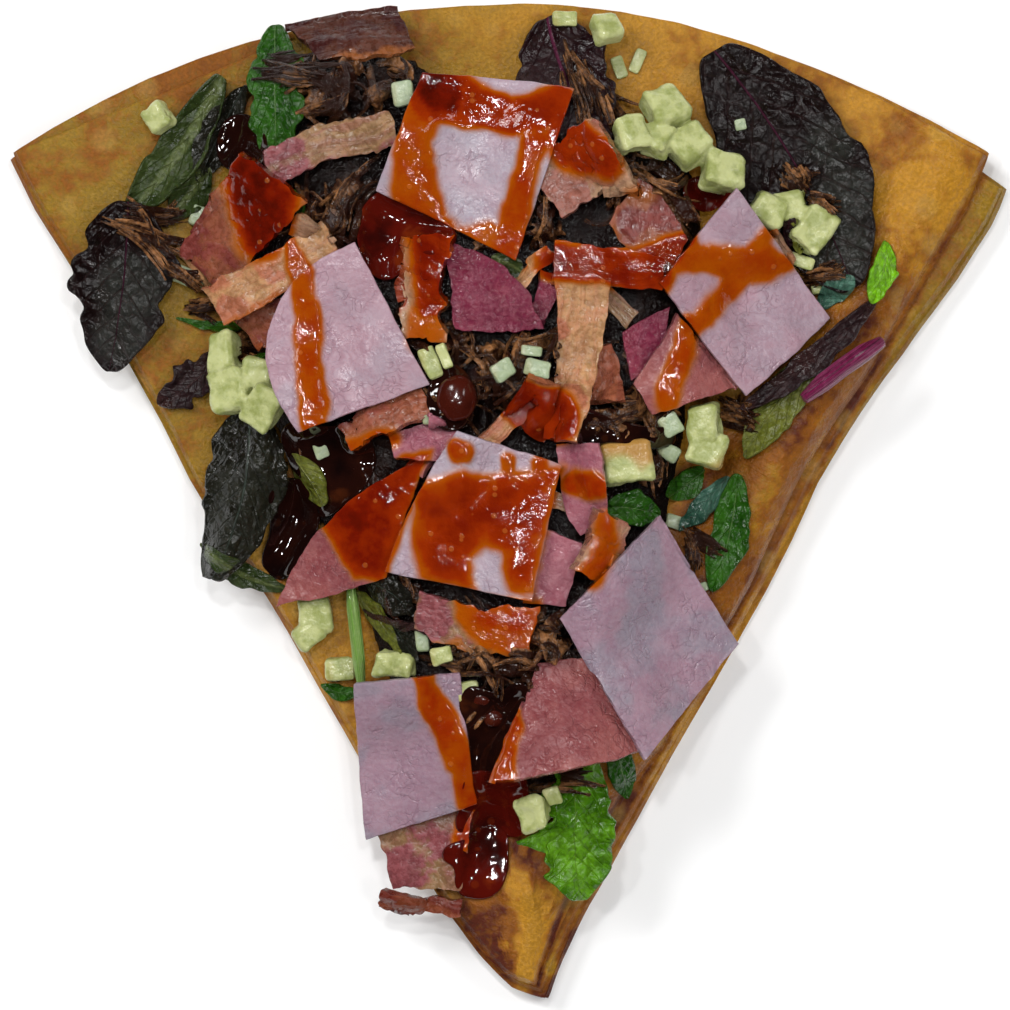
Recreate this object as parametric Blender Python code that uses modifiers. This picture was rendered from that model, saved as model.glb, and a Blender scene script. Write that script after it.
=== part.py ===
"""Savory crepe: a pancake folded to a wedge and heaped with salad, cheese, beef, bacon and ham.

The wedge lies flat, its tip towards -Y, its round edge towards +Y and its rolled side at +X.
Each topping is laid on the pile so far. Its resting height is read from a grid of the pile's
heights, so it touches what carries it with a small gap, and nothing overlaps.
Lengths in the tables are millimetres; MM turns them into metres.
"""

import math

import bmesh
import bpy
import numpy as np
from mathutils import Matrix, Vector, noise
from mathutils.bvhtree import BVHTree

MM = 0.001

# The folded pancake: a disc as wide as a large griddle, folded to a sixth
DISC_RADIUS = 205.0
APEX = (3.8, -106.0)
LEFT_ANGLE = 30.2
RIGHT_ANGLE = 29.4
RIGHT_RADIUS = 197.0
TIP = ((8.6, -98.0), (2.5, -95.9))
# How far the sides bow in from straight, and how much farther in the top pad lies, by radius
LEFT_BOW = (
    (14, 1.8), (20, 1.1), (30, -0.4), (74, 0.2), (103, 0.5),
    (122, -1.3), (146, 0.2), (193, -1.0), (202, 0.2),
)  # fmt: skip
RIGHT_BOW = (
    (8, 0.0), (28, 2.0), (54, 2.5), (108, 2.6), (125, 3.9),
    (143, 2.9), (162, 0.9), (182, -1.4), (197, 0.2),
)  # fmt: skip
PAD_INSET = (
    (8, 4.0), (28, 4.4), (52, 5.2), (63, 2.9), (80, 4.5),
    (92, 3.1), (112, 4.5), (150, 4.2), (175, 6.5), (197, 6.6),
)  # fmt: skip
CREPE_MIDDLE = (3.0, 22.0)
SHEET = 1.3
SHEET_GAP = 0.35
SHEETS = 6
ROLL_HEIGHT = 3.4
ROLL_WIDTH = 6.0
ROLL_INSET = 14.5

# The toppings
GAP = 0.35
HAM = 1.3
COOKED_HAM = 1.5
BACON = 1.9
LEAF = 0.6
STRAND = 0.95
SAUCE = 1.1
SAUCE_SINK = 0.5
DROOP = 7.0

# The height grid
PILE_HALF = 104.0
PILE_STEP = 0.5

FINISH = {
    "crepe": ((0.72, 0.47, 0.18), 0.6),
    "ham": ((0.74, 0.55, 0.58), 0.35),
    "cooked_ham": ((0.45, 0.16, 0.15), 0.35),
    "bacon": ((0.58, 0.30, 0.18), 0.35),
    "beef": ((0.13, 0.07, 0.05), 0.4),
    "cheese": ((0.82, 0.80, 0.50), 0.4),
    "green_leaf": ((0.08, 0.25, 0.04), 0.4),
    "dark_leaf": ((0.04, 0.04, 0.04), 0.4),
    "stem": ((0.30, 0.02, 0.12), 0.3),
}


def smooth_step(low, high, x):
    """0 below low, 1 above high, and an even slope between them."""
    t = np.clip((x - low) / (high - low), 0.0, 1.0)
    return t * t * (3 - 2 * t)


def bump(x):
    """1 at the middle, falling to 0 at one unit on either side."""
    return np.clip(1 - np.abs(x), 0, 1) ** 2 * (1 + 2 * np.abs(x))


def ripple(x, y, size, seed):
    """Soft unevenness from -1 to 1, with humps about size millimetres wide."""
    return noise.noise(Vector((x / size, y / size, seed)))


def start_scene():
    """An empty scene with one collection for the food and one for the pieces that are fused."""
    for old in list(bpy.data.objects):
        bpy.data.objects.remove(old, do_unlink=True)
    made = []
    for name in ("savory_crepe", "fused_pieces"):
        collection = bpy.data.collections.new(name)
        bpy.context.scene.collection.children.link(collection)
        made.append(collection)
    return made


def finish_of(kind):
    """The material of one kind of food, made the first time it is asked for."""
    found = bpy.data.materials.get(kind)
    if found:
        return found
    colour, roughness = FINISH[kind]
    made = bpy.data.materials.new(kind)
    made.use_nodes = True
    shader = made.node_tree.nodes["Principled BSDF"]
    shader.inputs["Base Color"].default_value = (*colour, 1)
    shader.inputs["Roughness"].default_value = roughness
    shader.inputs["Metallic"].default_value = 0.0
    return made


def add_object(name, bm, kind, collection, at=(0, 0, 0)):
    """An object from a bmesh in millimetres, placed by its location."""
    bmesh.ops.scale(bm, vec=(MM, MM, MM), verts=bm.verts)
    mesh = bpy.data.meshes.new(name)
    bm.to_mesh(mesh)
    bm.free()
    mesh.materials.append(finish_of(kind))
    mesh.shade_smooth()
    obj = bpy.data.objects.new(name, mesh)
    obj.location = [x * MM for x in at]
    collection.objects.link(obj)
    return obj


class Pile:
    """The top of the pile so far, as heights in millimetres on a square grid."""

    def __init__(self):
        self.places = np.arange(-PILE_HALF, PILE_HALF + PILE_STEP / 2, PILE_STEP)
        self.height = np.zeros((len(self.places), len(self.places)))

    def index(self, x):
        found = np.rint((np.asarray(x) + PILE_HALF) / PILE_STEP).astype(int)
        return np.clip(found, 1, len(self.places) - 2)

    def at(self, x, y):
        """The highest point within a grid step of each place."""
        i, j = self.index(x), self.index(y)
        around = [self.height[i + a, j + b] for a in (-1, 0, 1) for b in (-1, 0, 1)]
        return np.max(around, axis=0)

    def seen(self, obj, above):
        """(i, j, height) where rays meet an object, from above or from below."""
        bpy.context.view_layer.update()
        graph = bpy.context.evaluated_depsgraph_get()
        tree = BVHTree.FromObject(obj, graph)
        corners = np.array(obj.evaluated_get(graph).bound_box) / MM
        place = np.array(obj.location) / MM
        low = self.index(corners.min(0)[:2] + place[:2])
        high = self.index(corners.max(0)[:2] + place[:2])
        start, aim = (1, Vector((0, 0, -1))) if above else (-1, Vector((0, 0, 1)))
        found = []
        for i in range(low[0], high[0] + 1):
            for j in range(low[1], high[1] + 1):
                x = (self.places[i] - place[0]) * MM
                y = (self.places[j] - place[1]) * MM
                hit = tree.ray_cast(Vector((x, y, start)), aim)[0]
                if hit:
                    found.append((i, j, hit.z / MM + place[2]))
        i, j, z = np.array(found).T
        return i.astype(int), j.astype(int), z

    def add(self, obj):
        i, j, z = self.seen(obj, above=True)
        self.height[i, j] = np.maximum(self.height[i, j], z)

    def settle(self, obj, gap=GAP):
        """Moves an object up or down until it rests on the pile, then adds it."""
        i, j, z = self.seen(obj, above=False)
        x, y = self.places[i], self.places[j]
        obj.location.z += (gap - (z - self.at(x, y)).min()) * MM
        self.add(obj)


def resting_plane(x, y, ground):
    """(a, b, c) of the plane a x + b y + c that a stiff sheet over this ground comes to rest in.

    A part that hangs over the edge of the pancake droops only as if the ground there were at DROOP."""
    ground = np.maximum(ground, DROOP)
    mid_x, mid_y = x.mean(), y.mean()
    slope, step = np.zeros(2), 0.2
    turns = [(math.cos(k * math.pi / 4), math.sin(k * math.pi / 4)) for k in range(8)]

    def height(s):
        return (ground - s[0] * (x - mid_x) - s[1] * (y - mid_y)).max()

    best = height(slope)
    while step > 0.004:
        tries = [np.clip(slope + step * np.array(t), -0.45, 0.45) for t in turns]
        heights = [height(t) for t in tries]
        lowest = int(np.argmin(heights))
        if heights[lowest] < best - 1e-6:
            slope, best = tries[lowest], heights[lowest]
        else:
            step /= 2
    return slope[0], slope[1], best - slope[0] * mid_x - slope[1] * mid_y


def finer(grid, times):
    """A grid of values with each cell split, filled in along straight lines."""
    for axis in (0, 1):
        n = grid.shape[axis]
        at = np.linspace(0, n - 1, (n - 1) * times + 1)
        low = np.minimum(at.astype(int), n - 2)
        share = np.expand_dims(at - low, 1 - axis)
        near, far = np.take(grid, low, axis), np.take(grid, low + 1, axis)
        grid = near + (far - near) * share
    return grid


def draped(pile, x, y, flex, reach):
    """Heights for a sheet's grid: a stiff sheet (flex 0) lies in a plane, a limp one (1) follows the pile."""
    split = 6
    fx, fy = finer(x, split), finer(y, split)
    ground = pile.at(fx, fy)
    a, b, c = resting_plane(fx.ravel(), fy.ravel(), ground.ravel())
    plane = a * x + b * y + c
    away = (x[..., None] - fx.ravel()) ** 2 + (y[..., None] - fy.ravel()) ** 2
    weight = np.exp(-away / (2 * reach**2))
    soft = (weight * np.maximum(ground, DROOP).ravel()).sum(-1) / weight.sum(-1)
    z = plane + flex * (np.minimum(soft, plane) - plane)
    over = np.maximum(ground + GAP - finer(z, split), 0)
    for i in range(x.shape[0]):
        for j in range(x.shape[1]):
            near = over[
                max(0, (i - 1) * split) : (i + 1) * split + 1,
                max(0, (j - 1) * split) : (j + 1) * split + 1,
            ]
            z[i, j] += near.max()
    return z


def patch(corners, bulge=(0, 0, 0, 0)):
    """A four-cornered outline. Each side, from its own corner to the next, may bow out by its bulge."""
    c = np.array(corners, float)
    turned = sum(c[k - 1][0] * c[k][1] - c[k][0] * c[k - 1][1] for k in range(4)) < 0
    side = [c[(k + 1) % 4] - c[k] for k in range(4)]
    out = [np.array((s[1], -s[0])) / np.hypot(*s) * (-1 if turned else 1) for s in side]

    def shape(u, v):
        u, v = u[..., None], v[..., None]
        flat = (1 - u) * (1 - v) * c[0] + u * (1 - v) * c[1] + u * v * c[2]
        flat = flat + (1 - u) * v * c[3]
        for k, (along, share) in enumerate(((u, 1 - v), (v, u), (u, v), (v, 1 - u))):
            flat = flat + out[k] * bulge[k] * 4 * along * (1 - along) * share
        return flat[..., 0], flat[..., 1]

    return shape


def strip(base, tip, width, bend=0.0, profile=None):
    """A long outline about a spine from base to tip that bows sideways by bend."""
    base, tip = np.array(base, float), np.array(tip, float)
    run = tip - base
    side = np.array((-run[1], run[0])) / np.hypot(*run)

    def shape(u, v):
        wide = width * (profile(u) if profile else 1.0)
        across = bend * 4 * u * (1 - u) + (v - 0.5) * wide
        return base[0] + run[0] * u + side[0] * across, base[1] + run[1] * u + side[1] * across

    return shape


def leaf_profile(widest=0.5, ends=(0.3, 0.22)):
    """Share of a leaf's full width along it, with the widest place and the widths at both ends."""

    def profile(u):
        t = np.where(u < widest, 0.5 * u / widest, 0.5 + 0.5 * (u - widest) / (1 - widest))
        end = ends[0] + (ends[1] - ends[0]) * u
        return end + (1 - end) * np.sin(math.pi * t) ** 0.75

    return profile


def taper(start, end):
    """Share of a strip's width that runs evenly from one end to the other."""
    return lambda u: start + (end - start) * u


def ruffle(height, waves, phase=0.0, curl=0.0):
    """Edge waves of a leaf, growing towards both sides, and a lift of the sides by curl."""

    def lift(u, v):
        edge = (2 * v - 1) ** 2
        wave = np.sin(2 * math.pi * waves * u + phase + 2.4 * (v > 0.5))
        return edge * (height * (0.5 + 0.5 * wave) + curl)

    return lift


def corrugate(height, waves, phase=0.0):
    """Waves along a fried strip."""
    return lambda u, v: height * (0.5 + 0.5 * np.sin(2 * math.pi * waves * u + phase + 0.8 * v))


def sheet_object(name, shape, cells, z_of, thickness, kind, collection):
    """A grid bent to a shape and given its thickness upwards."""
    u, v = np.meshgrid(*(np.linspace(0, 1, n + 1) for n in cells), indexing="ij")
    x, y = shape(u, v)
    z = z_of(u, v, x, y)
    middle = (x.mean(), y.mean(), z.mean())
    bm = bmesh.new()
    bmesh.ops.create_grid(bm, x_segments=cells[0], y_segments=cells[1], size=0.5)
    for vert in bm.verts:
        i = round((vert.co.x + 0.5) * cells[0])
        j = round((vert.co.y + 0.5) * cells[1])
        vert.co = (x[i, j] - middle[0], y[i, j] - middle[1], z[i, j] - middle[2])
    bm.normal_update()
    if sum(face.normal.z for face in bm.faces) < 0:
        bmesh.ops.reverse_faces(bm, faces=bm.faces)
    bmesh.ops.triangulate(bm, faces=bm.faces, quad_method="FIXED")
    obj = add_object(name, bm, kind, collection, middle)
    solid = obj.modifiers.new("thickness", "SOLIDIFY")
    solid.thickness = thickness * MM
    solid.offset = 1.0
    return obj


def lay_sheet(pile, name, shape, kind, thickness, cells=(4, 4), flex=0.5, reach=4.0, lift=None):
    """A slice, strip or leaf, laid on the pile."""

    def z_of(u, v, x, y):
        z = draped(pile, x, y, flex, reach)
        return z + lift(u, v) if lift else z

    obj = sheet_object(name, shape, cells, z_of, thickness, kind, FOOD)
    pile.settle(obj)
    return obj


def apply_modifiers(obj):
    """Turns an object's modifiers into its mesh."""
    bpy.context.view_layer.update()
    graph = bpy.context.evaluated_depsgraph_get()
    mesh = bpy.data.meshes.new_from_object(obj.evaluated_get(graph))
    obj.modifiers.clear()
    obj.data = mesh


def fuse(obj):
    """Joins everything in the helper collection to an object as one body."""
    apply_modifiers(obj)
    join = obj.modifiers.new("fuse", "BOOLEAN")
    join.operation = "UNION"
    join.operand_type = "COLLECTION"
    join.collection = FUSED
    join.solver = "EXACT"
    apply_modifiers(obj)
    for piece in list(FUSED.objects):
        bpy.data.objects.remove(piece, do_unlink=True)
    keep_outer_skin(obj)


def keep_outer_skin(obj):
    """Removes the closed pockets that crossing shreds leave inside a body."""
    bm = bmesh.new()
    bm.from_mesh(obj.data)
    bmesh.ops.remove_doubles(bm, verts=bm.verts, dist=1e-6)
    skins, left = [], set(bm.verts)
    while left:
        skin, edge = set(), [left.pop()]
        while edge:
            vert = edge.pop()
            skin.add(vert)
            for link in vert.link_edges:
                other = link.other_vert(vert)
                if other in left:
                    left.remove(other)
                    edge.append(other)
        skins.append(skin)
    skins.sort(key=len)
    inner = [vert for skin in skins[:-1] for vert in skin]
    bmesh.ops.delete(bm, geom=inner, context="VERTS")
    bmesh.ops.triangulate(bm, faces=bm.faces)
    bm.to_mesh(obj.data)
    bm.free()


def along_side(angle, r, inset):
    """The place at a radius on one side of the wedge, moved in from the straight side by inset."""
    turn = math.radians(angle)
    sign = 1 if angle < 0 else -1
    x = APEX[0] + math.sin(turn) * r + sign * math.cos(turn) * inset
    y = APEX[1] + math.cos(turn) * r - sign * math.sin(turn) * inset
    return x, y


def wedge_outline():
    """Points round the wedge, clockwise from the tip, each with its share before and after it.

    A share is (arc, right side, place): the place runs from 0 to 1 along the arc, and is the
    radius on a side."""
    points, before, after = [], [], []

    def add(point, share, next_share=None):
        points.append(point)
        before.append(share)
        after.append(next_share or share)

    left_r = np.linspace(20, DISC_RADIUS - 3, 16)
    for r in left_r[:-1]:
        add(along_side(-LEFT_ANGLE, r, np.interp(r, *zip(*LEFT_BOW))), (0, 0, r))
    steps = 20
    for k in range(steps + 1):
        t = k / steps
        turn = math.radians(-LEFT_ANGLE + (LEFT_ANGLE + RIGHT_ANGLE) * t)
        r = DISC_RADIUS - 3 * (1 - t) ** 3 + (RIGHT_RADIUS - DISC_RADIUS) * smooth_step(0.45, 1, t)
        share = (1, 0, t)
        place = (APEX[0] + math.sin(turn) * r, APEX[1] + math.cos(turn) * r)
        add(place, (0, 0, r) if k == 0 else share, (0, 1, r) if k == steps else share)
    for r in np.linspace(RIGHT_RADIUS, 15, 16)[1:]:
        add(along_side(RIGHT_ANGLE, r, np.interp(r, *zip(*RIGHT_BOW))), (0, 1, r))
    add(TIP[0], (0, 1, 8), (0, 0.6, 8))
    add(TIP[1], (0, 0.6, 8), (0, 0, 12))
    return np.array(points), before, after


def rim_inset(sheet, share):
    """How far one sheet's edge lies inside the widest outline, in millimetres."""
    arc, right, place = share
    fold = sheet // 2
    if arc:
        inset = (0.9, 0.3, 1.5, 0.7, 0.2, 0.5)[sheet] + 0.35 * math.sin(9 * place + 2.3 * sheet)
        if sheet == SHEETS - 1:
            inset += 3.2 * float(bump((place - 0.16) / 0.2))
        if fold < 2:
            inset += 4.2 * float(smooth_step(0.86, 1, place))
        return inset
    wave = 0.35 * math.sin(place / 20 + 2.3 * sheet)
    on_right = (0.5, 1.6, float(np.interp(place, *zip(*PAD_INSET))))[fold]
    on_left = (0.8, 0.2, 1.0)[fold]
    return on_left + (on_right - on_left) * right + wave


def inset_outline(points, before, after, depth):
    """The outline moved inwards by depth(share), each corner to where its two moved sides meet."""
    count = len(points)
    moved = []
    for k in range(count):
        normals = []
        for run in (points[k] - points[k - 1], points[(k + 1) % count] - points[k]):
            normals.append(np.array((run[1], -run[0])) / np.hypot(*run))
        depths = np.array((depth(before[k]), depth(after[k])))
        if abs(normals[0][0] * normals[1][1] - normals[0][1] * normals[1][0]) > 0.3:
            moved.append(points[k] + np.linalg.solve(np.array(normals), depths))
        else:
            middle = (normals[0] + normals[1]) / 2
            moved.append(points[k] + middle / (middle @ middle) * depths.mean())
    return np.array(moved)


def right_distance(x, y):
    """Distance in from the wedge's right side."""
    angle = math.radians(RIGHT_ANGLE)
    return -((x - APEX[0]) * math.cos(angle) - (y - APEX[1]) * math.sin(angle))


def crepe_top(x, y):
    """Height of the upper skin above its flat level: the puffed roll along the right side, and ripples."""
    up = y - APEX[1]
    swell = smooth_step(4, 40, up) * (1 - 0.55 * smooth_step(130, 175, up))
    roll = ROLL_HEIGHT * swell * float(bump((right_distance(x, y) - ROLL_INSET) / (2 * ROLL_WIDTH)))
    roll *= 1 + 0.3 * ripple(x, y, 26, 2.0)
    return roll + 0.25 * ripple(x, y, 34, 5.0)


def crepe_rings():
    """(kind, sheet, height) of each ring from the table up to the upper skin's edge."""
    pitch = SHEET + SHEET_GAP
    rings = [("floor", 0, 0.0)]
    for sheet in range(SHEETS):
        low = 0.25 + pitch * sheet
        rings.append(("low", sheet, low))
        rings.append(("high", sheet, low + SHEET))
        if sheet < SHEETS - 1:
            rings.append(("groove", sheet, low + SHEET + SHEET_GAP / 2))
    return rings


def ring_inset(kind, sheet, share):
    """Inset of one ring. Two sheets meet in a round fold at the sides and end as cut edges on the arc."""
    own = rim_inset(sheet, share)
    upper = sheet % 2 == 1
    if kind == "floor":
        return own + 1.6
    if kind == "groove":
        deepest = max(own, rim_inset(sheet + 1, share)) + 2.4
        return deepest if share[0] or upper else own - 0.15
    if share[0]:
        return own + 0.15
    return own + (0.1 if (kind == "low") == upper else 0.9)


def build_crepe(pile):
    """The folded pancake as one solid: rings of points lofted from the floor to the upper skin."""
    outline, before, after = wedge_outline()
    centre = np.array(CREPE_MIDDLE)
    rings = []
    for kind, sheet, height in crepe_rings():
        places = inset_outline(outline, before, after, lambda share: ring_inset(kind, sheet, share))
        ring = []
        for (x, y), share in zip(places, after):
            wave = 0.12 * ripple(x, y, 15, sheet) if height > 1 else 0
            if sheet == SHEETS - 1 and share[1]:
                inner = (np.array((x, y)) - centre) * 0.965 + centre
                wave += crepe_top(*inner) * (0.35 if kind == "high" else 0.1)
            ring.append((x, y, height + wave))
        rings.append(ring)
    edge = np.array(rings[-1])
    top = 0.25 + (SHEET + SHEET_GAP) * (SHEETS - 1) + SHEET
    for share in (0.965, 0.915, 0.84, 0.72, 0.5, 0.22):
        ring = []
        for x, y, _ in edge:
            x, y = centre + (np.array((x, y)) - centre) * share
            ring.append((x, y, top + 0.15 + crepe_top(x, y)))
        rings.append(ring)
    bm = bmesh.new()
    loops = [[bm.verts.new(p) for p in ring] for ring in rings]
    count = len(outline)
    for lower, upper in zip(loops, loops[1:]):
        for k in range(count):
            nxt = (k + 1) % count
            bm.faces.new((lower[k], upper[k], upper[nxt], lower[nxt]))
    bm.faces.new(loops[0])
    middle = bm.verts.new((*centre, top + 0.15 + crepe_top(*centre)))
    for k in range(count):
        bm.faces.new((loops[-1][k], middle, loops[-1][(k + 1) % count]))
    bmesh.ops.recalc_face_normals(bm, faces=bm.faces)
    crepe = add_object("crepe", bm, "crepe", FOOD)
    pile.add(crepe)
    return crepe


def die(name, at, size, turn, tilt, kind, collection, z=None):
    """One block of diced cheese with soft edges. Its size is its width, depth and height."""
    bm = bmesh.new()
    bmesh.ops.create_cube(bm, size=1.0)
    bmesh.ops.scale(bm, vec=size, verts=bm.verts)
    for vert in bm.verts:
        seed = 3.1 * at[0] + at[1]
        vert.co.x += 0.9 * noise.noise(vert.co + Vector((seed, 0, 0)))
        vert.co.y += 0.9 * noise.noise(vert.co + Vector((0, seed, 0)))
    bmesh.ops.bevel(bm, geom=bm.edges[:], offset=0.7, segments=1, affect="EDGES")
    obj = add_object(name, bm, kind, collection, (*at, size[2] / 2 if z is None else z))
    obj.rotation_euler = [math.radians(angle) for angle in (*tilt, turn)]
    return obj


def lay_cheese(pile, name, dice):
    """A block, or a few blocks that lean on each other, resting on the pile.

    Each block is (x, y, width, depth, height, turn)."""
    spots = [(d[0] + a, d[1] + b) for d in dice for a in (-2, 0, 2) for b in (-2, 0, 2)]
    px, py = np.array(spots).T
    a, b, _ = resting_plane(px, py, pile.at(px, py))
    middle = Vector((px.mean(), py.mean(), 0))
    lean = (math.degrees(math.atan(b)), -math.degrees(math.atan(a)))
    first = None
    for k, (x, y, wide, deep, tall, turn) in enumerate(dice):
        z = tall / 2 + a * (x - middle.x) + b * (y - middle.y)
        odd = 5 if len(dice) > 1 else 0
        tilt = (lean[0] + odd * math.sin(3 * k + x), lean[1] + odd * math.cos(2 * k + y))
        home = FUSED if first else FOOD
        made = die(name, (x, y), (wide, deep, tall), turn, tilt, "cheese", home, z)
        first = first or made
    bpy.context.view_layer.update()
    first.data.transform(first.matrix_world)
    first.matrix_world.identity()
    if len(dice) > 1:
        fuse(first)
    first.data.transform(Matrix.Translation(-middle * MM))
    first.location = middle * MM
    pile.settle(first)
    return first


def tube(name, points, radius, kind, collection):
    """A closed round strand along points, its ends filled."""
    data = bpy.data.curves.new(name, "CURVE")
    data.dimensions = "3D"
    data.bevel_depth = radius * MM
    data.bevel_resolution = 1
    data.use_fill_caps = True
    spline = data.splines.new("POLY")
    spline.points.add(len(points) - 1)
    for place, (x, y, z) in zip(spline.points, points):
        place.co = (x * MM, y * MM, z * MM, 1)
    for k, place in enumerate(spline.points):
        place.radius = 0.62 if k in (0, len(points) - 1) else 1.0
    curve = bpy.data.objects.new(name + "_path", data)
    collection.objects.link(curve)
    bpy.context.view_layer.update()
    graph = bpy.context.evaluated_depsgraph_get()
    mesh = bpy.data.meshes.new_from_object(curve.evaluated_get(graph))
    bpy.data.objects.remove(curve, do_unlink=True)
    bm = bmesh.new()
    bm.from_mesh(mesh)
    bpy.data.meshes.remove(mesh)
    bmesh.ops.remove_doubles(bm, verts=bm.verts, dist=1e-6)
    bmesh.ops.recalc_face_normals(bm, faces=bm.faces)
    bmesh.ops.scale(bm, vec=(1 / MM, 1 / MM, 1 / MM), verts=bm.verts)
    return add_object(name, bm, kind, collection)


def strand_path(x, y, heading, length, bend):
    """Four points of a shred of meat that curves by bend at each of them."""
    path = []
    for k in range(4):
        angle = heading + bend * (k - 1.5)
        path.append((x, y))
        x += math.cos(angle) * length / 3
        y += math.sin(angle) * length / 3
    return path


def scatter_strands(pile, bare, rng, centre, radii, heading, count, length=17):
    """Shreds that lie over each other within an oval.

    They sink a little into the beef that carries them, and stay clear of the bare pile beside it."""
    made = 0
    while made < count:
        away = math.sqrt(rng.uniform(0, 1))
        turn = rng.uniform(0, 2 * math.pi)
        along = math.radians(heading + rng.normal(0, 22))
        long = length * rng.uniform(0.7, 1.15)
        x = centre[0] + radii[0] * away * math.cos(turn) - math.cos(along) * long / 2
        y = centre[1] + radii[1] * away * math.sin(turn) - math.sin(along) * long / 2
        path = np.array(strand_path(x, y, along, long, rng.uniform(-0.5, 0.5)))
        ground = pile.at(path[:, 0], path[:, 1])
        carried = ground - bare.at(path[:, 0], path[:, 1]) > 0.5
        if carried.sum() < 2:
            continue
        made += 1
        z = ground + np.where(carried, STRAND * 0.2, STRAND + GAP + 0.3)
        pile.add(tube("shred", np.column_stack((path, z)), STRAND, "beef", FUSED))


HEAP_CENTRE = (-3.0, 25.0)
HEAP_REACH = {
    0: 37, 25: 44, 50: 58, 75: 52, 95: 54, 108: 66, 122: 72, 145: 62, 165: 46,
    185: 43, 210: 41, 238: 46, 258: 70, 268: 84, 278: 84, 290: 66, 305: 50, 330: 40,
}  # fmt: skip
HEAP_LAYERS = ((1.0, 0.0), (1.02, 1.4), (0.93, 4.4), (0.78, 6.6), (0.55, 7.8), (0.28, 8.4))
SHRED_FIELDS = (
    # centre, radii, heading, count
    ((-35.0, 80.0), (12.0, 7.0), 15, 7),
    ((-33.5, 57.0), (7.0, 6.0), 60, 4),
    ((17.0, 75.0), (4.0, 8.0), 100, 4),
    ((31.0, 62.0), (7.0, 6.0), -45, 3),
    ((-5.0, 23.5), (10.0, 8.0), 30, 6),
    ((23.0, 17.5), (7.0, 4.0), 20, 3),
    ((-2.0, -27.5), (9.0, 5.0), -20, 5),
)


def heap_reach(angle):
    """Distance from the heap's centre to its foot at an angle in degrees."""
    turns = sorted(HEAP_REACH)
    values = [HEAP_REACH[t] for t in turns]
    return float(np.interp(angle % 360, [*turns, 360], [*values, values[0]]))


def build_heap(pile):
    """The mound of pulled beef: a low core with the shreds that show fused to its top."""
    bare = Pile()
    bare.height = pile.height.copy()
    count = 34
    base = pile.at(np.array(HEAP_CENTRE[0]), np.array(HEAP_CENTRE[1]))
    bm = bmesh.new()
    loops = []
    for share, height in HEAP_LAYERS:
        loop = []
        for k in range(count):
            angle = 2 * math.pi * k / count
            reach = heap_reach(math.degrees(angle)) * share
            x = HEAP_CENTRE[0] + reach * math.cos(angle)
            y = HEAP_CENTRE[1] + reach * math.sin(angle)
            rough = 0.9 * ripple(x, y, 9, 8.0) if height > 2 else 0
            loop.append(bm.verts.new((x, y, base + height + rough)))
        loops.append(loop)
    for lower, upper in zip(loops, loops[1:]):
        for k in range(count):
            nxt = (k + 1) % count
            bm.faces.new((lower[k], lower[nxt], upper[nxt], upper[k]))
    bm.faces.new(loops[0])
    top = bm.verts.new((*HEAP_CENTRE, base + 8.6))
    for k in range(count):
        bm.faces.new((loops[-1][k], loops[-1][(k + 1) % count], top))
    bmesh.ops.recalc_face_normals(bm, faces=bm.faces)
    heap = add_object("beef_heap", bm, "beef", FOOD)
    pile.settle(heap)
    rng = np.random.default_rng(7)
    for centre, radii, heading, shreds in SHRED_FIELDS:
        scatter_strands(pile, bare, rng, centre, radii, heading, shreds)
    heap.data.transform(heap.matrix_world)
    heap.location = (0, 0, 0)
    fuse(heap)
    return heap


def lay_bundle(pile, name, centre, length, turn, count):
    """A few shreds side by side, fused where they lean on each other."""
    rng = np.random.default_rng(count)
    px, py = np.meshgrid(np.linspace(-3, 3, 4), np.linspace(-3, 3, 4))
    px, py = centre[0] + px.ravel(), centre[1] + py.ravel()
    a, b, c = resting_plane(px, py, pile.at(px, py))
    first = None
    turn = math.radians(turn)
    side = np.array((-math.sin(turn), math.cos(turn)))
    for k in range(count):
        across = (k - (count - 1) / 2) * STRAND * 1.15
        heading = turn + rng.normal(0, 0.05)
        long = length * rng.uniform(0.75, 1.1)
        start = np.array(centre) + side * across - np.array((math.cos(turn), math.sin(turn))) * long / 2
        path = np.array(strand_path(*start, heading, long, 0.15 + 0.05 * (k % 2)))
        z = a * path[:, 0] + b * path[:, 1] + c + STRAND * (1 + 0.3 * (k % 2))
        home = FUSED if first else FOOD
        made = tube(name, np.column_stack((path, z)), STRAND, "beef", home)
        first = first or made
    fuse(first)
    pile.settle(first)
    return first


def pour_sauce(pile, on, spines):
    """Thick sauce drizzled along spines and fused to the slice that it lies on."""
    pile_before = pile.height.copy()
    for k, (start, end, bend, wide) in enumerate(spines):
        shape = strip(start, end, wide, bend, leaf_profile(0.5, (0.6, 0.6)))

        def z_of(u, v, x, y):
            soft = draped(pile, x, y, 0.9, 2.5) - GAP
            edge = np.clip(4 * np.minimum(v, 1 - v), 0, 1)
            return soft - SAUCE_SINK - 0.35 * (1 - edge)

        cells = (6, 4) if wide > 10 else (6, 2)
        sheet_object(f"sauce_{k}", shape, cells, z_of, SAUCE, "ham", FUSED)
    fuse(on)
    pile.height = pile_before
    pile.add(on)


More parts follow.
